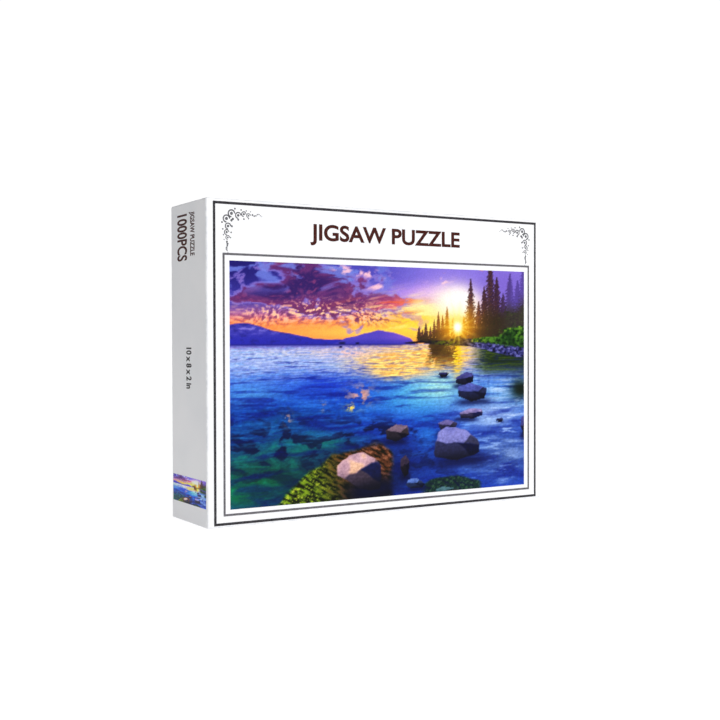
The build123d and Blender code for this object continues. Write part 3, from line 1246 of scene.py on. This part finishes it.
@dataclass
class Lettering:
    """A line of plain sans lettering, printed as a thin film of ink."""

    name: str
    words: str
    length: float
    cap: float
    weight: float
    ink: Ink

    def build(self, where: Matrix) -> Any:
        """Sets the words to their length and capital height.

        Args:
            where: the matrix that places their middle.

        Returns:
            The piece.
        """
        curve = bpy.data.curves.new(self.name + "_outline", "FONT")
        curve.body = self.words
        curve.offset = self.weight
        curve.resolution_u = 6
        curve.fill_mode = "FRONT"
        setter = add_object(self.name + "_outline", curve)
        bpy.context.view_layer.update()
        flat = bpy.data.meshes.new_from_object(setter.evaluated_get(bpy.context.evaluated_depsgraph_get()))
        bpy.data.objects.remove(setter)
        mesh = bmesh.new()
        mesh.from_mesh(flat)
        bpy.data.meshes.remove(flat)
        spots = np.array([vert.co for vert in mesh.verts])
        low, high = spots.min(0), spots.max(0)
        bmesh.ops.translate(mesh, verts=mesh.verts, vec=-Vector((low + high) / 2))
        fit = Vector((self.length / (high[0] - low[0]), self.cap / (high[1] - low[1]), 1))
        bmesh.ops.scale(mesh, verts=mesh.verts, vec=fit)
        bmesh.ops.transform(mesh, verts=mesh.verts, matrix=where)
        return make_piece(self.name, mesh, INKS[self.ink], smooth=False)


@dataclass
class FrameLine:
    """A printed rectangle drawn with a thin line."""

    name: str
    left: float
    right: float
    low: float
    high: float
    line: float
    ink: Ink

    def build(self, where: Matrix) -> Any:
        """Draws the line inside its rectangle, given from the side's middle.

        Args:
            where: the matrix that places it.

        Returns:
            The piece.
        """
        mesh = bmesh.new()
        bmesh.ops.create_grid(mesh, x_segments=1, y_segments=1, size=0.5)
        bmesh.ops.scale(mesh, verts=mesh.verts, vec=Vector((self.right - self.left, self.high - self.low, 1)))
        middle = Vector(((self.left + self.right) / 2, (self.low + self.high) / 2, 0))
        bmesh.ops.translate(mesh, verts=mesh.verts, vec=middle)
        bmesh.ops.inset_individual(mesh, faces=mesh.faces[:], thickness=self.line, use_even_offset=True)
        inner = min(mesh.faces, key=lambda face: (face.calc_center_median() - middle).length)
        bmesh.ops.delete(mesh, geom=[inner], context="FACES")
        bmesh.ops.transform(mesh, verts=mesh.verts, matrix=where)
        return make_piece(self.name, mesh, INKS[self.ink], smooth=False)


@dataclass
class CornerScroll:
    """Two chains of shrinking curls and dots that leave a corner along its two sides."""

    name: str
    mirrored: bool
    first_curl: float = 2.5 * MM
    shrink: float = 0.84
    curls: int = 4
    dots: int = 7
    tail: float = 6.0 * MM
    pace: float = 1.75
    tail_drop: float = 19 * MM
    tail_line: float = 0.5 * MM

    # the dots by each curl, in its radii: how far aside, how far along, and their radius
    DOTS = ((1.55, 0.0, 0.30), (-1.25, 0.9, 0.24))

    def curl(self, mesh: bmesh.types.BMesh, spot: Vector, size: float) -> None:
        """Draws an open ring with a dot in its middle.

        Args:
            mesh: the mesh it is made in.
            spot: its middle.
            size: its size.
        """
        place = Matrix.Translation(spot)
        ring = bmesh.ops.create_circle(mesh, cap_ends=True, segments=20, radius=size, matrix=place)
        disc = ring["verts"][0].link_faces[0]
        bmesh.ops.inset_individual(mesh, faces=[disc], thickness=size * 0.34, use_even_offset=True)
        bmesh.ops.delete(mesh, geom=[disc], context="FACES")
        mouth = [
            face
            for face in mesh.faces
            if 0 < (face.calc_center_median() - spot).length < size
            and (face.calc_center_median() - spot).normalized().dot(Vector((0.7, -0.7, 0))) > 0.8
        ]
        bmesh.ops.delete(mesh, geom=mouth, context="FACES")
        self.dot(mesh, spot, size * 0.40)

    def dot(self, mesh: bmesh.types.BMesh, spot: Vector, size: float) -> None:
        """Draws one dot."""
        place = Matrix.Translation(spot)
        bmesh.ops.create_circle(mesh, cap_ends=True, segments=10, radius=size, matrix=place)

    def chain(self, mesh: bmesh.types.BMesh, along: Vector, aside: Vector) -> None:
        """Draws the curls and dots that run along one side, leaning to and fro.

        Args:
            mesh: the mesh it is made in.
            along: the way it runs.
            aside: the way it leans.
        """
        spot, size = along * self.first_curl * 1.2, self.first_curl
        for number in range(self.curls):
            lean = aside * size * (0.35 if number % 2 else -0.1)
            self.curl(mesh, spot + lean, size)
            for out, on, dot in self.DOTS:
                self.dot(mesh, spot + aside * size * out + along * size * on, size * dot)
            spot = spot + along * size * self.pace
            size = size * self.shrink
        for number in range(self.dots):
            wave = aside * size * 0.5 * math.sin(number * 1.3)
            self.dot(mesh, spot + wave, size * (0.48 - 0.045 * number))
            spot = spot + along * size * (0.95 - 0.05 * number)

    def build(self, where: Matrix) -> Any:
        """Draws the scroll from its corner, which where places.

        Args:
            where: the matrix that places it.

        Returns:
            The piece.
        """
        mesh = bmesh.new()
        right, down = Vector((1, 0, 0)), Vector((0, -1, 0))
        self.chain(mesh, right, down)
        self.chain(mesh, down, right)
        stroke = Matrix.Diagonal((self.tail_line, self.tail, 1, 1))
        stroke = Matrix.Translation((0, -self.tail_drop, 0)) @ stroke
        bmesh.ops.create_grid(mesh, x_segments=1, y_segments=1, size=0.5, matrix=stroke)
        if self.mirrored:
            bmesh.ops.scale(mesh, verts=mesh.verts, vec=Vector((-1, 1, 1)))
            bmesh.ops.reverse_faces(mesh, faces=mesh.faces)
        bmesh.ops.transform(mesh, verts=mesh.verts, matrix=where)
        return make_piece(self.name, mesh, INKS[Ink.SCROLL], smooth=False)


@dataclass
class PicturePrint:
    """The picture, printed on a flat side as a dense sheet whose points hold the colour."""

    name: str
    width: float
    height: float
    across: int
    up: int
    gain: float = 1.0

    def build(self, where: Matrix) -> Any:
        """Prints the whole picture with its middle where the matrix says.

        Args:
            where: the place of its middle.

        Returns:
            The piece.
        """
        mesh = bmesh.new()
        bmesh.ops.create_grid(mesh, x_segments=self.across, y_segments=self.up, size=0.5)
        spots = np.array([vert.co[:2] for vert in mesh.verts])
        bmesh.ops.scale(mesh, verts=mesh.verts, vec=Vector((self.width, self.height, 1)))
        bmesh.ops.transform(mesh, verts=mesh.verts, matrix=where)
        piece = make_piece(self.name, mesh, PRINT_FINISH)
        colours = SunsetLake().colour(spots[:, 0] + 0.5, 0.5 - spots[:, 1])
        colour_points(piece, np.clip(colours * self.gain, 0, 1))
        return piece


@dataclass
class LidWrap:
    """The printed paper: over the lid, round the rim and down inside, as one sheet of paper."""

    low: Vector
    high: Vector
    fold: float = 1.25 * MM
    lip: float = 0.5 * MM
    paper: float = 0.16 * MM
    wall: float = 1.86 * MM
    turn_in: float = 15.0 * MM
    inset: float = 0.03 * MM
    finish: LaminatedArtPaper = LaminatedArtPaper()

    def build(self) -> Any:
        """Folds the wrap.

        Returns:
            The piece, on the lid.
        """
        low, high = self.low + Vector([self.inset] * 3), self.high - Vector([self.inset] * 3)
        middle, size = (low + high) / 2, high - low
        mesh = bmesh.new()
        block = Matrix.Translation(middle) @ Matrix.Diagonal((*size, 1))
        bmesh.ops.create_cube(mesh, size=1.0, matrix=block)
        back = max(mesh.faces, key=lambda face: face.calc_center_median().y)
        bmesh.ops.delete(mesh, geom=[back], context="FACES_ONLY")
        folds = [edge for edge in mesh.edges if not edge.is_boundary]
        round_off(mesh, folds, self.fold, 6)
        for reach, inward in ((0.0, self.wall), (-self.turn_in, 0.0)):
            rim = [edge for edge in mesh.edges if edge.is_boundary]
            made = bmesh.ops.extrude_edge_only(mesh, edges=rim)["geom"]
            points = [item for item in made if isinstance(item, bmesh.types.BMVert)]
            for point in points:
                point.co.y += reach
                for axis in (0, 2):
                    away = point.co[axis] - middle[axis]
                    point.co[axis] -= math.copysign(min(inward, abs(away)), away)
        inner = [edge for edge in mesh.edges if not edge.is_boundary]
        lip = [edge for edge in inner if min(vert.co.y for vert in edge.verts) > high.y - 1e-6]
        lip = [edge for edge in lip if abs(edge.calc_face_angle(0) - math.pi / 2) < 0.1]
        round_off(mesh, lip, self.lip, 3)
        bmesh.ops.recalc_face_normals(mesh, faces=mesh.faces)
        piece = make_piece("lid_wrap_paper", mesh, self.finish.material(low, high))
        thicken(piece, self.paper, -1.0)
        return piece


@dataclass
class LidPrint:
    """Everything printed on the lid's wrap: lines, lettering, scrolls and pictures."""

    low: Vector
    high: Vector
    lift: float = 0.01 * MM

    # each line's piece, its margins from left, right, foot and top and its thickness in mm, and its ink
    LINES = (
        ("outer_frame_line", (4.5, 4.7, 1.4, 1.9), 1.6, Ink.FRAME),
        ("inner_frame_line", (10.6, 10.7, 6.8, 32.2), 1.35, Ink.FINE),
    )
    # each piece of lettering: its words, length and capital height in mm, weight and ink, and its
    # middle to the right of the side's middle and above it, in mm
    TITLE = ("JIGSAW PUZZLE", 114.0, 13.4, 0.028, Ink.TITLE, -0.4, 79.0)
    END_WORDS = {
        "title": ("JIGSAW PUZZLE", 26.6, 8.8, 0.034, Ink.TITLE, 5.9, 78.0),
        "count": ("1000PCS", 28.4, 15.8, 0.026, Ink.TITLE, -9.3, 76.5),
        "size": ("10 x 8 x 2 in", 25.0, 8.2, 0.038, Ink.LABEL, 0.6, -3.2),
    }
    # each scroll's margins from its own side and from the top, in mm
    SCROLLS = {"corner_scroll_left": (13.5, 9.0), "corner_scroll_right": (13.9, 9.0)}

    def letter(self, face: PrintedFace, name: str, row: tuple, turned: bool = False) -> Any:
        """Prints one line of lettering.

        Args:
            face: the side it is on.
            name: the piece's name.
            row: its words, sizes, ink and place, as in the tables above.
            turned: whether it reads downwards.

        Returns:
            The piece.
        """
        words, length, cap, weight, ink, right, up = row
        lettering = Lettering(name, words, length * MM, cap * MM, weight, ink)
        return lettering.build(face.place(right * MM, up * MM, turned))

    def panel(self) -> list[Any]:
        """Prints the panel: frame lines, title, corner scrolls and the picture.

        Returns:
            The pieces.
        """
        face = PrintedFace(Side.PANEL, self.low, self.high, self.lift)
        half_w, half_h = face.width / 2, face.height / 2
        printed = []
        for name, margins, line, ink in self.LINES:
            left, right, foot, top = (margin * MM for margin in margins)
            reach = (left - half_w, half_w - right, foot - half_h, half_h - top)
            printed.append(FrameLine(name, *reach, line * MM, ink).build(face.place()))
        printed.append(self.letter(face, "title", self.TITLE))
        for name, (side, top) in self.SCROLLS.items():
            mirrored = name.endswith("right")
            across = half_w - side * MM if mirrored else side * MM - half_w
            printed.append(CornerScroll(name, mirrored).build(face.place(across, half_h - top * MM)))
        picture = PicturePrint("lake_picture", 223.8 * MM, 148.2 * MM, 388, 257)
        printed.append(picture.build(face.place(-0.1 * MM, -13.06 * MM)))
        return printed

    def end(self, side: Side, name: str) -> list[Any]:
        """Prints an end: title, count and size, all reading downwards, and a small picture.

        Args:
            side: the end.
            name: what its pieces' names start with.

        Returns:
            The pieces.
        """
        face = PrintedFace(side, self.low, self.high, self.lift)
        printed = [self.letter(face, f"{name}_{part}", row, True) for part, row in self.END_WORDS.items()]
        picture = PicturePrint(name + "_picture", 51.6 * MM, 16.4 * MM, 160, 80, gain=1.35)
        return [*printed, picture.build(face.place(0.2 * MM, -77.8 * MM))]


@dataclass
class Lid:
    """The lid: board and corner stays as packed, a detailed wrap and its print."""

    board: PulpSheet = PulpSheet("greyboard", *GREYBOARD)
    stays: PulpSheet = PulpSheet("kraft_stay_tape", *KRAFT_TAPE)
    pieces: list[Any] = field(default_factory=list)

    def build(self) -> list[Any]:
        """Makes the wrap and print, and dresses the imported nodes.

        Returns:
            The new pieces.
        """
        low, high = corners("lid_wrap")
        wrap = LidWrap(low, high).build()
        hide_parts("lid_wrap")
        printer = LidPrint(low, high)
        printed = printer.panel()
        for side in (Side.LEFT_END, Side.RIGHT_END):
            printed += printer.end(side, side.name.lower())
        for piece in (wrap, *printed):
            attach(piece, "lid")
            self.pieces.append(piece)
        dress("lid_board", self.board.material())
        dress("lid_corner_stays", self.stays.material())
        return self.pieces


def dress(node: str, material: bpy.types.Material) -> None:
    """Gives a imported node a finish.

    Args:
        node: the node's name.
        material: the finish.
    """
    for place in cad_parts[node].material_slots:
        place.link = "OBJECT"
        place.material = material


@dataclass
class Tray:
    """The tray, all as packed: board, corner stays and a plain white wrap."""

    board: PulpSheet = PulpSheet("tray_greyboard", *GREYBOARD)
    stays: PulpSheet = PulpSheet("tray_stay_tape", *KRAFT_TAPE)
    wrap: PulpSheet = PulpSheet("plain_white_wrap", "f2f2f0", "ebebe9", "f8f8f7", 0.9, 1.4, 0.012)

    def build(self) -> None:
        """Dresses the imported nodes."""
        dress("tray_board", self.board.material())
        dress("tray_corner_stays", self.stays.material())
        dress("tray_wrap", self.wrap.material())


@dataclass
class PictureSheet:
    """The A4 picture sheet, folded in half across and then along, with the picture on one side."""

    long: float = 297.0 * MM
    short: float = 210.0 * MM
    paper: float = 0.11 * MM
    fold: float = 0.19 * MM
    curl: float = 0.25 * MM
    side_gap: float = 0.6 * MM
    back_gap: float = 0.45 * MM
    foot_gap: float = 0.4 * MM
    across: int = 236
    up: int = 168

    @staticmethod
    def folded(along: Array, crease: float, radius: float) -> tuple[Array, Array]:
        """Folds a strip back on itself.

        Args:
            along: distances along the flat strip, the fold starting at crease.
            crease: where the fold starts.
            radius: of the fold.

        Returns:
            The distance along the fold's axis plane, and the distance to its back.
        """
        arc = np.clip((along - crease) / radius, 0, math.pi)
        beyond = np.maximum(along - crease - math.pi * radius, 0)
        ahead = np.where(along < crease, along, crease + radius * np.sin(arc) - beyond)
        return ahead, radius * (1 - np.cos(arc))

    def build(self) -> Any:
        """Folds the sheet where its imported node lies.

        Returns:
            The piece, on the sheet's body.
        """
        low, high = corners("picture_sheet")
        mesh = bmesh.new()
        bmesh.ops.create_grid(mesh, x_segments=self.across, y_segments=self.up, size=0.5)
        mesh.verts.ensure_lookup_table()
        flat = np.array([vert.co[:2] for vert in mesh.verts])
        along, down = (flat[:, 0] + 0.5) * self.long, (0.5 - flat[:, 1]) * self.short
        fall, back = self.folded(down, self.short / 2, self.fold)
        run, behind = self.folded(along, self.long / 2, self.fold + self.fold * 2)
        depth = np.where(along < self.long / 2 + math.pi * self.fold * 1.5, back, -back) + behind
        curl = self.curl * np.sin(run / self.long * 9 + fall / self.short * 5)
        edge = high.x - self.side_gap - self.long / 2
        for vert, x, y, z in zip(mesh.verts, run, depth + curl, fall):
            rise = low.z + self.short / 2 + self.foot_gap - z
            vert.co = Vector((edge + x, low.y + self.back_gap + y, rise))
        coated = OffsetPrint("coated_print_sheet", 0.9, 0.3).material()
        piece = make_piece("folded_picture_sheet", mesh, coated, PAPER_BACK)
        colour_points(piece, SunsetLake().colour(flat[:, 0] + 0.5, 0.5 - flat[:, 1]))
        thicken(piece, self.paper, 0.0).material_offset = 1
        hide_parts("picture_sheet")
        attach(piece, "sheet")
        return piece


@dataclass
class PieceBag:
    """The sealed film bag: full below, drawn in above to a flat crimped seam, creased all over."""

    rounding: float = 2.4 * MM
    inset: float = 0.1 * MM
    cells: tuple[int, int, int] = (96, 16, 72)
    large_crease: float = 0.034
    small_crease: float = 0.013
    crease: float = 0.8 * MM
    shoulder: float = 150.4 * MM
    seam_half: float = 0.5 * MM
    seam_height: float = 9.0 * MM

    @staticmethod
    def ridges(spots: Array, size: float, seed: int) -> Array:
        """Sharp creases of about that size, from 0 in the open to 1 along a crease.

        Args:
            spots: points in metres.
            size: its size.
            seed: picks the pattern.

        Returns:
            One value for each point.
        """
        across, up = spots[:, 0] + spots[:, 1] * 0.7, spots[:, 2] + spots[:, 1] * 0.4
        field_ = fractal(across / size, up / size, seed, 4)
        return np.clip(1 - np.abs(field_ - 0.5) * 7, 0, 1)

    def build(self) -> Any:
        """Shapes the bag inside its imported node.

        Returns:
            The piece, on the bag's body.
        """
        low, high = corners("piece_bag")
        low, high = low + Vector([self.inset] * 3), high - Vector([self.inset] * 3)
        mesh = bmesh.new()
        middle, size = (low + high) / 2, high - low
        block = Matrix.Translation(middle) @ Matrix.Diagonal((*size, 1))
        bmesh.ops.create_cube(mesh, size=1.0, matrix=block)
        round_off(mesh, mesh.edges[:], self.rounding, 3)
        for axis, count in enumerate(self.cells):
            normal = Vector([1.0 if axis == other else 0.0 for other in range(3)])
            for cut in range(1, count):
                spot = low + size * (cut / count)
                geometry = [*mesh.verts, *mesh.edges, *mesh.faces]
                bmesh.ops.bisect_plane(mesh, geom=geometry, plane_co=spot, plane_no=normal, dist=1e-7)
        mesh.verts.ensure_lookup_table()
        mesh.normal_update()
        spots = np.array([vert.co for vert in mesh.verts])
        lift = 0.65 * self.ridges(spots, self.large_crease, 301)
        lift = lift + 0.35 * self.ridges(spots, self.small_crease, 311)
        for vert, rise in zip(mesh.verts, lift):
            share = max(0.0, (vert.co.z - self.shoulder) / (high.z - self.seam_height - self.shoulder))
            half = size.y / 2
            narrow = half + (self.seam_half - half) * min(1.0, share) ** 1.15
            vert.co -= vert.normal * self.crease * (1 - rise)
            vert.co.y = middle.y + (vert.co.y - middle.y) * narrow / half
        piece = make_piece("bag_film", mesh, BagFilm().material())
        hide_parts("piece_bag")
        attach(piece, "bag")
        return piece


class Cut(Enum):
    """How a side of a jigsaw piece is cut."""

    STRAIGHT = 0
    KNOB = 1
    SOCKET = 2


@dataclass
class JigsawPiece:
    """One die-cut piece, made once for each set of cuts and then copied."""

    width: float = 17.4 * MM
    height: float = 19.9 * MM
    board: float = 1.65 * MM
    rounding: float = 0.7 * MM
    mouth: float = 0.6
    made: dict[tuple[Cut, ...], Any] = field(default_factory=dict)

    # a knob's neck, cheek and head: how far each reaches, and how it spreads from the one before
    KNOB = ((1.2 * MM, 0.62), (1.5 * MM, 1.75), (1.7 * MM, 0.62))

    def knob(self, mesh: bmesh.types.BMesh, edge: Any, outward: Vector) -> None:
        """Draws a knob out of a side's middle edge: a neck, then a head.

        Args:
            mesh: the mesh it is made in.
            edge: the edge it starts from.
            outward: the way out of the side.
        """
        for reach, spread in self.KNOB:
            made = bmesh.ops.extrude_edge_only(mesh, edges=[edge])["geom"]
            points = [item for item in made if isinstance(item, bmesh.types.BMVert)]
            edges = [item for item in made if isinstance(item, bmesh.types.BMEdge)]
            edge = next(item for item in edges if set(item.verts) == set(points))
            centre = (points[0].co + points[1].co) / 2
            for point in points:
                point.co = centre + (point.co - centre) * spread + outward * reach

    def socket(self, mesh: bmesh.types.BMesh, edge: Any) -> None:
        """Cuts a socket in from a side's middle edge, narrower at its mouth.

        Args:
            mesh: the mesh it is made in.
            edge: the edge it starts from.
        """
        mouth = list(edge.verts)
        centre = (mouth[0].co + mouth[1].co) / 2
        bmesh.ops.delete(mesh, geom=[edge.link_faces[0]], context="FACES")
        for point in mouth:
            point.co = centre + (point.co - centre) * self.mouth

    def shape(self, cuts: tuple[Cut, ...]) -> Any:
        """The piece's mesh, lying flat with its picture upwards.

        Args:
            cuts: of its right, upper, left and lower sides.

        Returns:
            The mesh, with the picture as material 0 and bare board as material 1.
        """
        if cuts in self.made:
            return self.made[cuts]
        mesh = bmesh.new()
        bmesh.ops.create_grid(mesh, x_segments=3, y_segments=3, size=0.5)
        bmesh.ops.scale(mesh, verts=mesh.verts, vec=Vector((self.width, self.height, 1)))
        sides = [Vector((1, 0, 0)), Vector((0, 1, 0)), Vector((-1, 0, 0)), Vector((0, -1, 0))]
        half = Vector((self.width / 2, self.height / 2, 0))
        for cut, outward in zip(cuts, sides):
            spot = Vector([half[axis] * outward[axis] for axis in range(3)])
            edge = min(mesh.edges, key=lambda item: ((item.verts[0].co + item.verts[1].co) / 2 - spot).length)
            if cut is Cut.KNOB:
                self.knob(mesh, edge, outward)
            elif cut is Cut.SOCKET:
                self.socket(mesh, edge)
        rim = [vert for vert in mesh.verts if vert.is_boundary]
        rim = [vert for vert in rim if abs(vert.co.x) < half.x * 0.9 or abs(vert.co.y) < half.y * 0.9]
        round_off(mesh, rim, self.rounding, 1, "VERTICES")
        bmesh.ops.solidify(mesh, geom=mesh.faces[:], thickness=self.board)
        bmesh.ops.recalc_face_normals(mesh, faces=mesh.faces)
        for face in mesh.faces:
            face.material_index = 0 if face.normal.z > 0.9 else 1
        data = bpy.data.meshes.new("jigsaw_piece_shape")
        mesh.to_mesh(data)
        mesh.free()
        self.made[cuts] = data
        return data


@dataclass
class LoosePieces:
    """The thousand loose pieces, jumbled in the bag, one object for each row of the puzzle."""

    columns: int = 40
    rows: int = 25
    across: int = 8
    long: float = 700.0 * MM
    short: float = 500.0 * MM
    tilt: float = 24.0
    outer_tilt: float = 7.0
    jitter: float = 9.0 * MM
    nudge: float = 1.2 * MM
    face_out: float = 0.66
    full: float = 145.5 * MM
    clearance: float = 1.15 * MM
    seed: int = 7

    def cuts(self, column: int, row: int) -> tuple[Cut, ...]:
        """How a piece's right, upper, left and lower sides are cut.

        Args:
            column: from the left of the puzzle.
            row: from the top of the puzzle.

        Returns:
            The four cuts.
        """
        across, upright = (Cut.KNOB, Cut.SOCKET) if (column + row) % 2 else (Cut.SOCKET, Cut.KNOB)
        return (
            across if column < self.columns - 1 else Cut.STRAIGHT,
            upright if row > 0 else Cut.STRAIGHT,
            across if column > 0 else Cut.STRAIGHT,
            upright if row < self.rows - 1 else Cut.STRAIGHT,
        )

    def lay(self, rng: np.random.Generator, cell: int, layer: int, low: Vector, size: Vector) -> Matrix:
        """Where one piece comes to rest.

        Args:
            rng: the random draws.
            cell: its place in its layer.
            layer: how far back it lies.
            low: the lowest corner of the bag's full part.
            size: the size of that part.

        Returns:
            Its matrix.
        """
        rise, across = divmod(cell, self.across)
        up = (rise + 0.5) * self.across / self.columns
        share = Vector(((across + 0.5) / self.across, (layer + 0.5) / self.rows, up))
        spot = low + Vector([size[axis] * share[axis] for axis in range(3)])
        shake = rng.uniform(-1, 1, 3)
        spot += Vector((shake[0] * self.jitter, shake[1] * self.nudge, shake[2] * self.jitter))
        flat = min(1.0, 5 * min(share.y, 1 - share.y))
        outward = 0.0 if share.y < 0.5 else math.pi
        most = math.radians(self.outer_tilt + (self.tilt - self.outer_tilt) * flat)
        first, second = rng.normal(0, 0.55, 2) * most
        turn = rng.uniform(0, 2 * math.pi)
        face = outward if rng.uniform() < self.face_out else math.pi - outward
        upright = Matrix.Rotation(math.pi / 2 + first + face, 4, "X")
        tipped = Matrix.Translation(spot) @ Matrix.Rotation(second, 4, "Z")
        return tipped @ upright @ Matrix.Rotation(turn, 4, "Z")

    def row(
        self,
        number: int,
        shapes: JigsawPiece,
        rng: np.random.Generator,
        slots: Array,
        low: Vector,
        high: Vector,
    ) -> Any:
        """Jumbles the pieces of one row of the puzzle.

        Args:
            number: of the row, from the top.
            shapes: makes the pieces.
            rng: the random draws.
            slots: the place of each of its pieces in the bag.
            low: the lowest corner of the bag's full part.
            high: its highest corner.

        Returns:
            The piece, with a printed picture and bare board.
        """
        mesh = bmesh.new()
        over, down = [], []
        for column in range(self.columns):
            before = len(mesh.verts)
            mesh.from_mesh(shapes.shape(self.cuts(column, number)))
            mesh.verts.ensure_lookup_table()
            points = mesh.verts[before:]
            over += [(column + 0.5) / self.columns + point.co.x / self.long for point in points]
            down += [(number + 0.5) / self.rows - point.co.y / self.short for point in points]
            layer, cell = divmod(int(slots[column]), self.columns)
            where = self.lay(rng, cell, layer, low, high - low)
            bmesh.ops.transform(mesh, verts=points, matrix=where)
            spots = np.array([point.co for point in points])
            push = np.maximum(np.array(low) - spots.min(0), 0) + np.minimum(np.array(high) - spots.max(0), 0)
            bmesh.ops.translate(mesh, verts=points, vec=Vector(push))
        piece = make_piece(f"loose_row_{number + 1:02d}", mesh, PIECE_PRINT, PIECE_BOARD, smooth=False)
        colour_points(piece, SunsetLake().colour(np.clip(over, 0, 1), np.clip(down, 0, 1)))
        return piece

    def build(self) -> int:
        """Jumbles every row inside the bag.

        Returns:
            How many rows there are.
        """
        rng = np.random.default_rng(self.seed)
        names = sorted(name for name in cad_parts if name.startswith("puzzle_row_"))
        low, high = corners("piece_bag")
        high = Vector((high.x, high.y, low.z + self.full)) - Vector([self.clearance] * 3)
        low = low + Vector([self.clearance] * 3)
        slots = rng.permutation(self.rows * self.columns).reshape(self.rows, self.columns)
        shapes = JigsawPiece()
        for number, name in enumerate(names):
            piece = self.row(number, shapes, rng, slots[number], low, high)
            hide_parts(name)
            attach(piece, "bag")
        return len(names)


@dataclass
class Studio:
    """A pale floor and backdrop, soft light mostly from the front right, and the camera."""

    eye: Vector = field(default_factory=lambda: Vector((-0.3864, -0.6330, 0.1102)))
    turn: float = 31.07
    dip: float = 0.93
    tilt: float = -0.13
    lens: float = 55.6
    dim: float = 0.1
    bright: float = 0.5
    backdrop: float = 1.05
    floor_glow: float = 0.86

    # each lamp's name, strength, spread in degrees, and the side that it stands on
    LAMPS = (("key_light", 2.25, 35, (0.22, -0.62, 0.72)), ("fill_light", 0.5, 60, (0.2, 0.85, 0.5)))

    def camera(self) -> None:
        """Sets up the camera."""
        data = bpy.data.cameras.new("camera")
        data.lens = self.lens
        data.sensor_width = 36.0
        data.clip_start, data.clip_end = 0.01, 50.0
        camera = add_object("camera", data)
        turn, dip, tilt = (math.radians(angle) for angle in (self.turn, self.dip, self.tilt))
        aim = Matrix.Rotation(-turn, 4, "Z") @ Matrix.Rotation(-dip, 4, "X") @ Matrix.Rotation(-tilt, 4, "Y")
        camera.matrix_world = Matrix.Translation(self.eye) @ aim @ Matrix.Rotation(math.pi / 2, 4, "X")
        bpy.context.scene.camera = camera

    def floor(self) -> None:
        """Lays a plain pale floor, bright enough to meet the backdrop without a line."""
        mesh = bmesh.new()
        bmesh.ops.create_grid(mesh, x_segments=1, y_segments=1, size=12.0)
        material, tree = new_material("pale_studio_floor")
        tone = colour_ramp(tree, grain_at(tree, 400.0, 2.0), [(0.3, "8e8e8e"), (0.7, "929292")])
        finish_material(
            tree,
            {
                "Base Color": tone,
                "Roughness": 0.9,
                "Emission Color": (1, 1, 1, 1),
                "Emission Strength": self.floor_glow,
            },
        )
        make_piece("studio_floor", mesh, material, smooth=False)

    def light(self) -> None:
        """Lights the panel from the front right, and leaves the left end to softer, dimmer light."""
        for name, energy, spread, toward in self.LAMPS:
            data = bpy.data.lights.new(name, "SUN")
            data.energy, data.angle = energy, math.radians(spread)
            add_object(name, data).matrix_world = Vector(toward).to_track_quat("Z", "Y").to_matrix().to_4x4()
        world = bpy.data.worlds.new("studio_world")
        world.use_nodes = True
        tree = world.node_tree
        tree.nodes.clear()
        across = add_node(tree, "ShaderNodeTexCoord").outputs["Generated"]
        across = add_node(tree, "ShaderNodeSeparateXYZ", {0: across}).outputs["X"]
        limits = {"From Min": -0.9, "From Max": 0.9, "To Min": self.dim, "To Max": self.bright}
        around = add_node(tree, "ShaderNodeMapRange", {"Value": across, **limits}).outputs[0]
        soft = add_node(tree, "ShaderNodeBackground", {"Color": (0.985, 0.99, 1.0, 1.0), "Strength": around})
        plain_white = {"Color": (1.0, 1.0, 1.0, 1.0), "Strength": self.backdrop}
        white = add_node(tree, "ShaderNodeBackground", plain_white)
        path = add_node(tree, "ShaderNodeLightPath").outputs["Is Camera Ray"]
        both = add_node(tree, "ShaderNodeMixShader", {0: path, 1: soft.outputs[0], 2: white.outputs[0]})
        add_node(tree, "ShaderNodeOutputWorld", {"Surface": both.outputs[0]})
        bpy.context.scene.world = world
        bpy.context.scene.view_settings.view_transform = "Standard"

    def build(self) -> None:
        """Sets up the studio."""
        self.camera()
        self.floor()
        self.light()


def main() -> None:
    """Builds and dresses everything, in order."""
    Studio().build()
    for piece in Lid().build():
        log.info("lid: %s", piece.name)
    Tray().build()
    log.info("sheet: %s", PictureSheet().build().name)
    log.info("bag: %s", PieceBag().build().name)
    log.info("rows of loose pieces: %d", LoosePieces().build())


if __name__ == "__main__":
    logging.basicConfig(level=logging.INFO, format="%(message)s")
    INKS = {ink: ink.value.material() for ink in Ink}
    PRINT_FINISH = OffsetPrint().material()
    PIECE_PRINT = OffsetPrint("piece_print", 0.9, 0.45).material()
    PIECE_BOARD = PulpSheet("die_cut_greyboard", "a59d90", "8d867a", "b8b0a2", 0.8, 1.2, 0.05).material()
    PAPER_BACK = PulpSheet("sheet_back_paper", "f2f2f0", "e8e8e6", "fafafa", 1.2, 4.0, 0.02).material()
    main()
